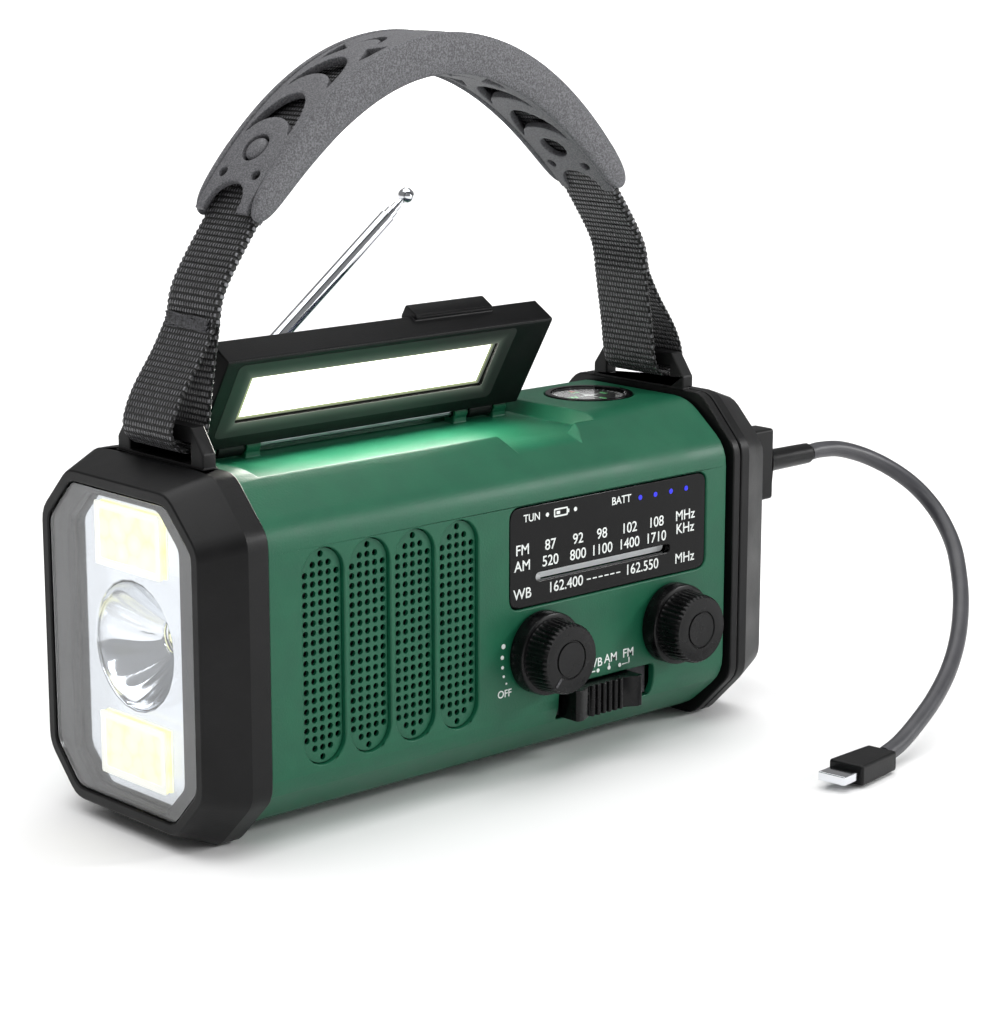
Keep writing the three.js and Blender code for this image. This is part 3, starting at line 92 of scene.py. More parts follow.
def principled(name, base, roughness, **extra):
    """A material with one Principled BSDF. Extra names are its sockets, with _ for a space."""
    material = bpy.data.materials.new(name)
    material.use_nodes = True
    tree = material.node_tree
    bsdf = tree.nodes["Principled BSDF"]
    bsdf.inputs["Base Color"].default_value = linear(base)
    bsdf.inputs["Roughness"].default_value = roughness
    for key, value in extra.items():
        bsdf.inputs[key.replace("_", " ")].default_value = value
    material.diffuse_color = linear(base)
    return material, tree, bsdf


def place(tree, feature_mm):
    """Object coordinates scaled so that one pattern unit is feature_mm."""
    coordinates = add(tree, "ShaderNodeTexCoord")
    settings = {"Scale": (1 / (feature_mm * MM),) * 3}
    return add(tree, "ShaderNodeMapping", settings, {"Vector": coordinates.outputs["Object"]}).outputs["Vector"]


def noise(tree, feature_mm, detail):
    """Smooth noise with features of one size."""
    settings = {"Scale": 1.0, "Detail": detail}
    return add(tree, "ShaderNodeTexNoise", settings, {"Vector": place(tree, feature_mm)}).outputs["Fac"]


def cells(tree, feature_mm):
    """A pattern of random cells of one size."""
    return add(tree, "ShaderNodeTexVoronoi", {"Scale": 1.0}, {"Vector": place(tree, feature_mm)})


def ramp(tree, source, *stops):
    """The colour of a ramp over a source. Each stop is a position and a hex colour, from low to high."""
    made = add(tree, "ShaderNodeValToRGB", links={"Fac": source})
    elements = made.color_ramp.elements
    for element, (position, colour) in ((elements[0], stops[0]), (elements[1], stops[-1])):
        element.position = position
        element.color = linear(colour)
    for position, colour in stops[1:-1]:
        elements.new(position).color = linear(colour)
    return made.outputs["Color"]


def bumped(tree, bsdf, source, height_mm, strength):
    """Raises the surface by up to one height where the source is high."""
    settings = {"Strength": strength, "Distance": height_mm * MM}
    bump = add(tree, "ShaderNodeBump", settings, {"Height": source})
    tree.links.new(bump.outputs["Normal"], bsdf.inputs["Normal"])


def grain(tree, bsdf, feature_mm, height_mm, strength):
    """Moulded grain with features of one size."""
    bumped(tree, bsdf, noise(tree, feature_mm, 3.0), height_mm, strength)


def mottle(tree, bsdf, dark, light, feature_mm):
    """Slow colour change between two near tones over patches of one size."""
    tone = ramp(tree, noise(tree, feature_mm, 4.0), (0.35, dark), (0.65, light))
    tree.links.new(tone, bsdf.inputs["Base Color"])


def scuffed(tree, bsdf, low, high, feature_mm):
    """Roughness that wanders between two values, as handling leaves it."""
    settings = {"From Min": 0.3, "From Max": 0.7, "To Min": low, "To Max": high}
    spread = add(tree, "ShaderNodeMapRange", settings, {"Value": noise(tree, feature_mm, 6.0)})
    tree.links.new(spread.outputs["Result"], bsdf.inputs["Roughness"])


def recipe(name, base, roughness, tones=None, worn=None, texture=None, **sockets):
    """A finish from steps that most share: two near tones, wandering roughness and moulded grain."""
    material, tree, bsdf = principled(name, base, roughness, **sockets)
    for step, values in ((mottle, tones), (scuffed, worn), (grain, texture)):
        if values:
            step(tree, bsdf, *values)
    return material


# ---- materials
def plastics():
    """Moulded and extruded plastics. The green and black casings have a spark-eroded grain, and the knobs
    come from a polished tool. The cable's jacket keeps the faint ripple of its die."""
    return {
        "green": recipe("green_abs_spark_grain", "#10533a", 0.33, ("#10523a", "#12573d", 7), (0.38, 0.48, 14),
                        (0.55, 0.10, 0.5), IOR=1.5, Specular_IOR_Level=0.32),
        "black": recipe("black_abs_satin", "#0b0b0c", 0.34, ("#0a0a0b", "#0e0e0f", 11), (0.34, 0.46, 12),
                        (0.5, 0.06, 0.45), IOR=1.5, Specular_IOR_Level=0.22),
        "knob": recipe("black_abs_polished", "#050506", 0.22, ("#040405", "#070708", 6), (0.22, 0.32, 8),
                       (0.6, 0.02, 0.4), IOR=1.5, Specular_IOR_Level=0.22),
        "acrylic": recipe("dial_acrylic_black", "#060607", 0.05, worn=(0.05, 0.10, 20), IOR=1.49,
                          Specular_IOR_Level=0.16),
        "clear": recipe("clear_polycarbonate", "#fbfdff", 0.02, worn=(0.01, 0.04, 18), IOR=1.58,
                        Transmission_Weight=1.0),
        "cover": recipe("compass_cover_acrylic", "#ffffff", 0.02, worn=(0.01, 0.03, 10), IOR=1.05,
                        Transmission_Weight=1.0),
        "thread": recipe("bonded_thread_black", "#1d1d1e", 0.5, ("#0c0c0d", "#4a4a4e", 0.6)),
        "cable": recipe("pvc_jacket_grey", "#37373b", 0.42, ("#333337", "#3d3d41", 7), texture=(1.2, 0.04, 0.4),
                        IOR=1.52),
        "wrap": recipe("pvc_shrink_wrap_blue", "#2f4f8f", 0.28, ("#2a4781", "#35589d", 8)),
        "acetal": recipe("acetal_natural", "#dfe2e2", 0.35, ("#d8dbdb", "#e8ebeb", 5), IOR=1.48),
        "tpr": grey_tpr(), "webbing": webbing_nylon(),
    }


def metals_and_ceramics():
    """An aluminium film with a slight orange peel, chrome over drawn tube, zinc plate, board and ferrite."""
    return {
        "mirror": recipe("vacuum_metallised_film", "#e9ebee", 0.1, worn=(0.06, 0.15, 10), texture=(4, 0.05, 0.5),
                         Metallic=1.0),
        "chrome": recipe("chrome_plate_drawn", "#dcdee2", 0.1, worn=(0.07, 0.16, 7), Metallic=1.0),
        "steel": recipe("zinc_plated_steel", "#a9adb2", 0.38, worn=(0.3, 0.48, 5), texture=(0.8, 0.02, 0.5),
                        Metallic=1.0),
        "board": recipe("solder_resist_green", "#1c5b38", 0.35, ("#164a2d", "#237046", 3), texture=(0.7, 0.05, 0.5)),
        "ferrite": recipe("sintered_ferrite", "#38373a", 0.8, ("#2e2d30", "#444246", 1.5), texture=(0.4, 0.05, 0.6)),
        "silicon": solar_silicon(),
    }


def print_ink(name, colour, glow=0.0):
    """Screen-printed ink: flat colour with a slightly uneven lay-down. A glow makes it give light: the indicator
    lamps and the backdrop, and painted glow on the ceramic border and the scale guide.
    """
    return recipe(name, colour, 0.5, worn=(0.42, 0.58, 2), Emission_Color=linear(colour), Emission_Strength=glow)


def inks():
    """Screen prints, indicator windows, the alumina border of a lamp with a painted glow for the light it catches,
    and the guide behind the dial's slot with a faint painted glow that lifts it out of the slot's shade.
    """
    return {
        "white": print_ink("screen_ink_white", "#e4e9e6"), "blue": print_ink("indicator_blue", "#1a1ec8", 0.5),
        "red": print_ink("screen_ink_red", "#c22c24"), "luminous": print_ink("luminous_ink_green", "#79d98a", 0.15),
        # Painted glow: the ceramic border is no lamp; its emission stands for the light the chips throw on it.
        "ceramic": print_ink("alumina_ceramic_painted_glow", "#f6f5ea", 0.7),
        # Painted glow: a faint emission lifts the guide out of the shade of the slot it sits in.
        "guide": print_ink("scale_guide_white_painted_glow", "#d8dcdd", 0.25),
    }


def phosphor(strength):
    """Phosphor resin over rows of chips, lit: pale yellow, brighter where each chip sits."""
    material, tree, bsdf = principled("phosphor_resin_lit", "#f3edaa", 0.35, Emission_Strength=strength)
    tone = ramp(tree, cells(tree, 4.5).outputs["Distance"], (0, "#fffdd6"), (1, "#faf4a4"))
    tree.links.new(tone, bsdf.inputs["Emission Color"])
    tree.links.new(tone, bsdf.inputs["Base Color"])
    return material


PANEL_OPEN = 59.5
LIT_CENTRE = (-18.7, -17.1)
LIT_HALF = (37.6, 5.0)
GLOW_EDGE = (5.2, -0.9)


def reading_lamp_glow(strength):
    """Milky diffuser lit from behind: white in the middle, yellow-green and then dim towards its edges. On the
    surround past the lens that dim tail is painted glow for the lamp's light on the frame's recess. The tone
    follows the larger of the two distances past a smaller rectangle in the panel's own frame."""
    material, tree, bsdf = principled("milky_diffuser_lit_with_painted_spill", "#0d0e0c", 0.4, Emission_Strength=strength)
    middle = panel_frame_matrix() @ Matrix.Translation((LIT_CENTRE[0] * MM, LIT_CENTRE[1] * MM, 0))
    where = add(tree, "ShaderNodeTexCoord")
    settings = {"vector_type": "TEXTURE", "Location": middle.to_translation(), "Rotation": middle.to_euler()}
    local = add(tree, "ShaderNodeMapping", settings, {"Vector": where.outputs["Object"]})
    size = add(tree, "ShaderNodeVectorMath", {"operation": "ABSOLUTE"}, {0: local.outputs["Vector"]})
    half = Vector((LIT_HALF[0] * MM, LIT_HALF[1] * MM, 0))
    past = add(tree, "ShaderNodeVectorMath", {"operation": "SUBTRACT", 1: half}, {0: size.outputs["Vector"]})
    split = add(tree, "ShaderNodeSeparateXYZ", links={"Vector": past.outputs["Vector"]})
    most = add(tree, "ShaderNodeMath", {"operation": "MAXIMUM"}, {0: split.outputs["X"], 1: split.outputs["Y"]})
    settings = {"interpolation_type": "SMOOTHSTEP", "From Min": GLOW_EDGE[0] * MM, "From Max": GLOW_EDGE[1] * MM}
    share = add(tree, "ShaderNodeMapRange", settings, {"Value": most.outputs["Value"]})
    # The dim stops show on the surround as painted glow of the lamp's light on the frame's recess.
    tone = ramp(tree, share.outputs["Result"], (0, "#010101"), (0.3, "#050605"), (0.55, "#0c0d0b"),
                (0.78, "#212418"), (1, "#fffdf4"))
    tree.links.new(tone, bsdf.inputs["Emission Color"])
    return material


def grey_tpr():
    """Speckled thermoplastic rubber: mid grey with fine light and dark specks and a dry, sandy grain."""
    material, tree, bsdf = principled("grey_tpr_speckled", "#66666a", 0.62, IOR=1.5)
    tone = ramp(tree, noise(tree, 0.38, 2.0), (0.36, "#454548"), (0.5, "#58585b"), (0.64, "#6c6c70"))
    tree.links.new(tone, bsdf.inputs["Base Color"])
    grain(tree, bsdf, 0.7, 0.16, 0.7)
    return material


RIB = 1.5


def webbing_nylon():
    """Plain-woven nylon webbing on its own UV map in millimetres: staggered yarn floats in raised rows. The tops of
    the floats carry a painted highlight and the gaps between them painted shade.
    """
    material, tree, bsdf = principled(
        "nylon_webbing_black_painted_highlights", "#101011", 0.38, IOR=1.53, Sheen_Weight=0.05, Specular_IOR_Level=0.45)
    where = add(tree, "ShaderNodeUVMap", {"uv_map": "cloth"})
    settings = {"Scale": 1.0, "Mortar Size": 0.4, "Mortar Smooth": 1.0, "Bias": 0.0}
    settings |= {"Brick Width": 1.0, "Row Height": RIB, "offset": 0.5, "squash": 1.0}
    settings |= {"Color1": (1, 1, 1, 1), "Color2": (0.88, 0.88, 0.88, 1), "Mortar": (0, 0, 0, 1)}
    weave = add(tree, "ShaderNodeTexBrick", settings, {"Vector": where.outputs["UV"]}).outputs["Color"]
    # Painted highlight and shade: on black nylon the float tops are pale and the gaps between them near black.
    tone = ramp(tree, weave, (0.3, "#010101"), (0.78, "#050506"), (1, "#7a7a7e"))
    tree.links.new(tone, bsdf.inputs["Base Color"])
    bumped(tree, bsdf, weave, 0.6, 1.0)
    return material


def solar_silicon():
    """Laminated silicon cell: blue-black crystal patches under clear resin."""
    material, tree, bsdf = principled("laminated_silicon", "#10182c", 0.14, IOR=1.5, Coat_Weight=0.6)
    tone = ramp(tree, cells(tree, 4).outputs["Color"], (0, "#0b1222"), (1, "#182748"))
    tree.links.new(tone, bsdf.inputs["Base Color"])
    return material


MATERIALS = {}


def make_materials(settings):
    """Fills MATERIALS, one entry per finish."""
    MATERIALS.update(plastics() | metals_and_ceramics() | inks())
    MATERIALS.update(cob=phosphor(settings.lamp_glow), glow=reading_lamp_glow(settings.reading_glow))


# ---- mesh helpers
def finish_piece(piece, body, finish, replaced=(), angle=32):
    """Gives a piece its material and edge shading, parents it to its body and hides the CAD nodes it stands for."""
    piece.data.materials.clear()
    piece.data.materials.append(MATERIALS[finish])
    piece.data.shade_smooth()
    piece.data.set_sharp_from_angle(angle=math.radians(angle))
    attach(piece, body)
    if replaced:
        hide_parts(*replaced)
    return piece


def object_from(name, mesh):
    """A new object in the scene that shows one mesh."""
    piece = bpy.data.objects.new(name, mesh)
    bpy.context.scene.collection.objects.link(piece)
    return piece


def closed_mesh(name, vertices, faces, merge=MERGE):
    """A mesh whose doubles are merged and whose faces point outwards."""
    mesh = bpy.data.meshes.new(name)
    mesh.from_pydata(np.asarray(vertices, float).tolist(), [], [list(face) for face in faces])
    work = bmesh.new()
    work.from_mesh(mesh)
    bmesh.ops.remove_doubles(work, verts=work.verts, dist=merge)
    bmesh.ops.dissolve_degenerate(work, edges=work.edges, dist=merge)
    bmesh.ops.recalc_face_normals(work, faces=work.faces)
    work.to_mesh(mesh)
    work.free()
    return mesh


def grid_faces(rows, columns, closed_rows, closed_columns):
    """Quads that join neighbouring points of a grid, wrapping round where it is closed."""
    i = np.arange(rows if closed_rows else rows - 1)
    j = np.arange(columns if closed_columns else columns - 1)
    i, j = [part.ravel() for part in np.meshgrid(i, j, indexing="ij")]
    i2, j2 = (i + 1) % rows, (j + 1) % columns
    return np.stack([i * columns + j, i2 * columns + j, i2 * columns + j2, i * columns + j2], axis=1)


def capped_faces(rings, sides):
    """Quads between closed rings of points, and one face over each end."""
    last = (rings - 1) * sides
    faces = [list(face) for face in grid_faces(rings, sides, False, True)]
    return faces + [list(range(sides)), list(range(last, last + sides))]


def turned(name, profile, centre, axis, sides=64, flute=None):
    """Surface of revolution: each [radius, height] of the profile goes round the axis through centre.
    The angle t runs 0 to 2 pi, and flute(t, radius, height), if given, is added to the radius."""
    profile = np.asarray(profile, float)
    t = np.linspace(0, TAU, sides, endpoint=False)
    radius = np.repeat(profile[:, :1], sides, axis=1)
    height = np.repeat(profile[:, 1:], sides, axis=1)
    if flute is not None:
        radius = radius + flute(t[None, :], radius, height)
    w = Vector(axis).normalized()
    u = w.orthogonal().normalized()
    v = w.cross(u)
    points = (np.asarray(centre) + radius[..., None] * np.cos(t)[None, :, None] * np.asarray(u)
              + radius[..., None] * np.sin(t)[None, :, None] * np.asarray(v) + height[..., None] * np.asarray(w))
    rows = len(profile)
    return closed_mesh(name, points.reshape(-1, 3), grid_faces(rows, sides, False, True))


def frames_along(path):
    """Two directions across a path at each point that don't twist, found by projecting forward."""
    path = np.asarray(path, float)
    tangent = np.gradient(path, axis=0)
    tangent /= np.linalg.norm(tangent, axis=1)[:, None]
    side = np.zeros_like(path)
    across = np.cross(tangent[0], (0, 0, 1))
    for i, along in enumerate(tangent):
        across = across - along * across.dot(along)
        across /= np.linalg.norm(across)
        side[i] = across
    return side, np.cross(tangent, side)


def tube_along(name, path, radius, sides=20):
    """A round tube with flat ends: radius times (cos t, sin t) in the plane across the path at each point."""
    side, up = frames_along(path)
    radius = np.broadcast_to(np.asarray(radius, float), (len(path),))
    t = np.linspace(0, TAU, sides, endpoint=False)
    ring = np.cos(t)[None, :, None] * side[:, None, :] + np.sin(t)[None, :, None] * up[:, None, :]
    points = np.asarray(path)[:, None, :] + radius[:, None, None] * ring
    return closed_mesh(name, points.reshape(-1, 3), capped_faces(len(path), sides))


def smooth_line(points, count):
    """Uniform Catmull-Rom curve through the points, sampled at even arc length."""
    points = np.asarray(points, float)
    padded = np.vstack([2 * points[0] - points[1], points, 2 * points[-1] - points[-2]])
    s = np.linspace(0, len(points) - 1, count * 8)
    k = np.minimum(s.astype(int), len(points) - 2)
    t = (s - k)[:, None]
    a, b, c, d = (padded[k + i] for i in range(4))
    fine = 0.5 * (2 * b + (c - a) * t + (2 * a - 5 * b + 4 * c - d) * t ** 2 + (3 * b - a - 3 * c + d) * t ** 3)
    length = np.concatenate([[0], np.cumsum(np.linalg.norm(np.diff(fine, axis=0), axis=1))])
    even = np.linspace(0, length[-1], count)
    return np.stack([np.interp(even, length, fine[:, i]) for i in range(fine.shape[1])], axis=1)


def outline_plate(name, outlines, thickness, to_frame, bevel=0.0):
    """A flat plate between closed outlines in millimetres, where inner outlines are holes, set into place."""
    curve = bpy.data.curves.new(name, "CURVE")
    curve.dimensions = "2D"
    curve.fill_mode = "BOTH"
    curve.extrude = thickness * MM / 2
    curve.bevel_depth = bevel * MM
    curve.bevel_resolution = 1
    for outline in outlines:
        spline = curve.splines.new("POLY")
        spline.points.add(len(outline) - 1)
        flat = np.zeros((len(outline), 4))
        flat[:, :2] = np.asarray(outline) * MM
        flat[:, 3] = 1
        spline.points.foreach_set("co", flat.ravel())
        spline.use_cyclic_u = True
    return meshed(name, curve, to_frame)


def meshed(name, curve, to_frame):
    """A curve or text as a mesh, merged and set into place, with the curve removed."""
    holder = bpy.data.objects.new(name, curve)
    bpy.context.scene.collection.objects.link(holder)
    bpy.context.view_layer.update()
    mesh = bpy.data.meshes.new_from_object(holder.evaluated_get(bpy.context.evaluated_depsgraph_get()))
    bpy.data.objects.remove(holder)
    bpy.data.curves.remove(curve)
    work = bmesh.new()
    work.from_mesh(mesh)
    bmesh.ops.remove_doubles(work, verts=work.verts, dist=1e-7)
    work.to_mesh(mesh)
    work.free()
    mesh.name = name
    mesh.transform(to_frame)
    return mesh


def on_front(x, y, z):
    """Frame of a plate that faces -Y: its X stays X and its Y goes up. Millimetres."""
    return Matrix(((1, 0, 0, x * MM), (0, 0, -1, y * MM), (0, 1, 0, z * MM), (0, 0, 0, 1)))


def on_rear(x, y, z):
    """Frame of a plate that faces +Y: its X runs to -X and its Y goes up. Millimetres."""
    return Matrix(((-1, 0, 0, x * MM), (0, 0, 1, y * MM), (0, 1, 0, z * MM), (0, 0, 0, 1)))


def on_top(x, y, z):
    """Frame of a plate that faces +Z. Millimetres."""
    return Matrix.Translation((x * MM, y * MM, z * MM))


def rounded(x0, x1, y0, y1, radius, steps=6):
    """A rectangle with corners of one radius, as points anticlockwise."""
    t = np.linspace(0, math.pi / 2, steps)
    middles = [(x1 - radius, y1 - radius), (x0 + radius, y1 - radius), (x0 + radius, y0 + radius),
               (x1 - radius, y0 + radius)]
    parts = [np.stack([cx + radius * np.cos(t + k * math.pi / 2), cy + radius * np.sin(t + k * math.pi / 2)], 1)
             for k, (cx, cy) in enumerate(middles)]
    return np.vstack(parts)


def spun(points, turn):
    """Points in a plane turned about its origin by an angle in radians."""
    spin = np.array([[math.cos(turn), -math.sin(turn)], [math.sin(turn), math.cos(turn)]])
    return points @ spin.T


def circle(x, y, radius, sides=24):
    """Points of a circle."""
    t = np.linspace(0, TAU, sides, endpoint=False)
    return np.stack([x + radius * np.cos(t), y + radius * np.sin(t)], 1)


def lettering(name, lines, to_frame, size):
    """Generic printed words and numbers: (text, x, y) in millimetres, as one mesh. A fourth value is a size."""
    work = bmesh.new()
    for text, x, y, *more in lines:
        curve = bpy.data.curves.new(name, "FONT")
        curve.body = text
        curve.size = (more[0] if more else size) * MM
        curve.align_x = "CENTER"
        curve.align_y = "CENTER"
        curve.extrude = INK * MM / 2
        curve.offset = LETTER_WEIGHT * MM
        mesh = meshed(name, curve, Matrix.Translation((x * MM, y * MM, 0)))
        work.from_mesh(mesh)
        bpy.data.meshes.remove(mesh)
    joined = bpy.data.meshes.new(name)
    work.to_mesh(joined)
    work.free()
    joined.transform(to_frame)
    return joined


def plate(name, outlines, thickness, to_frame, body, finish, replaced=()):
    """An outline plate as a finished piece."""
    piece = object_from(name, outline_plate(name, outlines, thickness, to_frame))
    return finish_piece(piece, body, finish, replaced)


def printed(name, lines, to_frame, size, body, finish):
    """Lettering as a finished piece."""
    return finish_piece(object_from(name, lettering(name, lines, to_frame, size)), body, finish)


def box_mm(node):
    """Low and high corners of a CAD node's box in millimetres."""
    return [np.array(corner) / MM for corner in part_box(node)]


def middle_xz(node):
    """Middle of a CAD node's box across X and Z."""
    low, high = box_mm(node)
    return (low[0] + high[0]) / 2, (low[2] + high[2]) / 2


def softened(node, finish, width=0.3, angle=30, segments=2):
    """A copy of a CAD node with its moulded edges eased by a bevel, standing for the node."""
    mesh = NODES[node].data.copy()
    work = bmesh.new()
    work.from_mesh(mesh)
    bmesh.ops.remove_doubles(work, verts=work.verts, dist=2e-6)
    bmesh.ops.dissolve_degenerate(work, edges=work.edges, dist=1e-6)
    bmesh.ops.dissolve_limit(
        work, angle_limit=math.radians(0.6), use_dissolve_boundaries=False, verts=work.verts, edges=work.edges)
    work.to_mesh(mesh)
    work.free()
    piece = object_from(node + "_moulded", mesh)
    finish_piece(piece, BODY_OF[node], finish, (node,), angle=angle)
    bevel = piece.modifiers.new("eased_edges", "BEVEL")
    bevel.width = width * MM
    bevel.segments = segments
    bevel.limit_method = "ANGLE"
    bevel.angle_limit = math.radians(angle)
    bevel.use_clamp_overlap = False
    bevel.harden_normals = True
    return piece


def repaint(node, finish):
    """A CAD node whose shape is right keeps its mesh and gets a finish."""
    data = NODES[node].data
    data.materials.clear()
    data.materials.append(MATERIALS[finish])


# ---- sizes that a user would change
class RadioSettings(bpy.types.PropertyGroup):
    lamp_glow: FloatProperty(name="Lamp glow", description="Light of the lamp head's panels", default=1.0, min=0)
    reading_glow: FloatProperty(
        name="Reading lamp glow", description="Light of the flip-up lamp", default=34.0, min=0)
    hole_pitch: FloatProperty(
        name="Hole pitch", description="Distance between grille holes in millimetres", default=2.36, min=1.5, max=4)
    hole_radius: FloatProperty(
        name="Hole radius", description="Radius of a grille hole in millimetres", default=0.84, min=0.2, max=1)
    flutes: IntProperty(name="Flutes", description="Grip flutes round each knob", default=40, min=12, max=72)
    web_width: FloatProperty(
        name="Webbing width", description="Width of the handle's webbing in millimetres", default=20.0,
        min=10, max=30)
    floor_colour: FloatVectorProperty(
        name="Floor", description="Colour of the studio floor", subtype="COLOR", default=(0.9, 0.9, 0.9),
        min=0, max=1)


class BuildStep:
    """What the operators share: each builds some of the radio from the scene's settings."""

    def execute(self, context):
        self.build(context.scene.radio)
        return {"FINISHED"}


# ---- stage
CAMERA_PLACE = (-0.4482, -0.5198, 0.2176)
CAMERA_AZIMUTH = -42.287
CAMERA_ELEVATION = 12.537
CAMERA_LENS = 95.8
SENSOR_WIDTH = 36
FLOOR = [(x, y, -0.0002) for x in (-6, 6) for y in (-6, 6)]
BACKDROP_AWAY = 1.9
WORLD_STRENGTH = 0.26
LIGHTS = (
    ("overhead", (0, 0.2, 3.2), (0, 0, 0), 4.5, 150),
    ("key", (-0.9, -0.9, 1.1), (0, 0, 0.06), 0.4, 3.5),
    ("front", (1.1, -1.4, 0.5), (0.02, 0, 0.05), 0.9, 7),
    ("fold", (1.16, -1.05, 0.78), (-0.02, -0.03, 0.08), 0.22, 9),
)


class RADIO_OT_stage(BuildStep, bpy.types.Operator):
    """Camera, pale floor and soft studio lights"""
    bl_idname = "radio.stage"
    bl_label = "Stage"

    def build(self, settings):
        data = bpy.data.cameras.new("camera")
        data.lens = CAMERA_LENS
        data.sensor_width = SENSOR_WIDTH
        data.sensor_fit = "AUTO"
        camera = bpy.data.objects.new("camera", data)
        bpy.context.scene.collection.objects.link(camera)
        a, e = math.radians(CAMERA_AZIMUTH), math.radians(CAMERA_ELEVATION)
        back = Vector((math.sin(a) * math.cos(e), -math.cos(a) * math.cos(e), math.sin(e)))
        camera.location = CAMERA_PLACE
        camera.rotation_euler = (-back).to_track_quat("-Z", "Y").to_euler()
        data.clip_start, data.clip_end = 0.01, 20
        bpy.context.scene.camera = camera

        floor = object_from("studio_floor", sheet("studio_floor", FLOOR))
        floor.data.materials.append(floor_paint(settings.floor_colour))

        backdrop = object_from("studio_backdrop", backdrop_card(back))
        backdrop.data.materials.append(print_ink("backdrop_paint", "#ffffff", 1.0))
        backdrop.visible_glossy = False

        world = bpy.data.worlds.new("studio")
        bpy.context.scene.world = world
        world.use_nodes = True
        background = world.node_tree.nodes["Background"]
        background.inputs["Color"].default_value = (1, 1, 1, 1)
        background.inputs["Strength"].default_value = WORLD_STRENGTH
        for light in LIGHTS:
            area_light(*light)
        bpy.context.scene.view_settings.view_transform = "Standard"


def sheet(name, corners):
    """A flat mesh with four corners."""
    return closed_mesh(name, [tuple(corner) for corner in corners], grid_faces(2, 2, False, False))


def backdrop_card(back):
    """A tall flat card behind the radio, square to the camera's heading."""
    heading = Vector((back.x, back.y, 0)).normalized()
    side = heading.cross((0, 0, 1))
    corners = [-BACKDROP_AWAY * heading + side * across + Vector((0, 0, height))
               for across in (-2, 2) for height in (-0.01, 1.2)]
    return sheet("studio_backdrop", corners)


def floor_paint(colour):
    """Matt white paint with a barely uneven tone."""
    return recipe("matt_floor_paint", "#f6f6f6", 0.85, worn=(0.8, 0.9, 60), Base_Color=(*colour, 1))


def area_light(name, location, target, size, power):
    """A square light that points at a target."""
    data = bpy.data.lights.new(name, "AREA")
    data.size = size
    data.energy = power
    light = bpy.data.objects.new(name, data)
    light.location = location
    light.rotation_euler = (Vector(target) - Vector(location)).to_track_quat("-Z", "Y").to_euler()
    bpy.context.scene.collection.objects.link(light)


# ---- charging cable
CABLE_ROUTE = [
    (129.2, -18.2, 66), (134, -18.2, 66.2), (142, -18.8, 65.4), (151, -21, 62.4), (158.6, -25, 57.9),
    (163.2, -30.4, 52.6), (164.4, -37.2, 46.2), (161.4, -45.4, 38.9), (154.6, -53.4, 31.9),
    (146, -61, 25.9), (135.2, -68.6, 20), (123.2, -75.3, 15), (110.1, -81, 10.7),
    (97.4, -85.3, 7.2), (87.5, -88, 4.7), (79.6, -89.5, 3.4),
]
CABLE_RADIUS = 2.3


class RADIO_OT_cable(BuildStep, bpy.types.Operator):
    """Charging cable with its moulded plug, strain relief and connector"""
    bl_idname = "radio.cable"
    bl_label = "Charging cable"

    def build(self, settings):
        path = smooth_line(np.array(CABLE_ROUTE) * MM, 120)
        cable = object_from("cable_jacket", tube_along("cable_jacket", path, CABLE_RADIUS * MM, 24))
        finish_piece(cable, "charge_plug", "cable", ("charge_cable",))
        softened("plug_body", "black", 0.5)
        softened("connector_body", "black", 0.7, segments=3)
        softened("connector_tip", "chrome", 0.3)
        softened("plug_shell", "chrome", 0.2)
        softened("usb_socket", "steel", 0.1)


# ---- case
class RADIO_OT_case(BuildStep, bpy.types.Operator):
    """Green shells, black end pieces, buttons and screws"""
    bl_idname = "radio.case"
    bl_label = "Case"

    def build(self, settings):
        for node in ("front_shell", "rear_shell"):
            shell = softened(node, "green", 0.35)
            even = shell.modifiers.new("even_folds", "WEIGHTED_NORMAL")
            even.keep_sharp = True
            even.weight = 100
        for node in ("lamp_head", "right_collar", "right_end_cap"):
            softened(node, "black", 0.45)
        for node in ("torch_button", "reading_lamp_button", "alarm_button"):
            softened(node, "knob", 0.25)
        for i in range(4):
            softened(f"case_screw_{i + 1}", "steel", 0.15)
            painted_screw_recess_shade(f"case_screw_{i + 1}")


def painted_screw_recess_shade(node):
    """A black cross on a screw's head, painted shade standing for its cross recess: two bars of one width across the
    middle.
    """
    high = box_mm(node)[1]
    x, z = middle_xz(node)
    bar, reach = 0.32, 1.5
    cross = [(-reach, -bar), (-bar, -bar), (-bar, -reach), (bar, -reach), (bar, -bar), (reach, -bar),
             (reach, bar), (bar, bar), (bar, reach), (-bar, reach), (-bar, bar), (-reach, bar)]
    # Painted shade: a thin black plate where the screw's cross recess would be dark.
    plate(node + "_cross_shade", [cross], INK, on_rear(x, high[1] + 0.02, z), BODY_OF[node], "knob")


# ---- speaker grille
SLOTS = 4
SLOT_PITCH = 14.2
SLOT_RADIUS = 6.0
SLOT_REACH = 26.2
HOLE_PATTERN = (1, 3) + (5,) * 18 + (3, 1)


class RADIO_OT_grille(BuildStep, bpy.types.Operator):
    """Four perforated panels behind the slots, with a dark cloth behind them"""
    bl_idname = "radio.grille"
    bl_label = "Speaker grille"

    def build(self, settings):
        low, high = box_mm("speaker_grille")
        middle_x, middle_z = middle_xz("speaker_grille")
        first = middle_x - SLOT_PITCH * (SLOTS - 1) / 2
        outlines = [rounded(low[0], high[0], low[2], high[2], 6)]
        plate("speaker_cloth", outlines, 0.4, on_front(0, high[1] - 0.2, 0), "case", "knob",
              ("speaker_grille",))
        for index in range(SLOTS):
            x = first + index * SLOT_PITCH
            shape = [stadium(x, middle_z, SLOT_RADIUS, SLOT_REACH)] + grille_holes(x, middle_z, settings)
            plate(f"grille_panel_{index + 1}", shape, 0.9, on_front(0, low[1] + 0.6, 0), "case", "green")


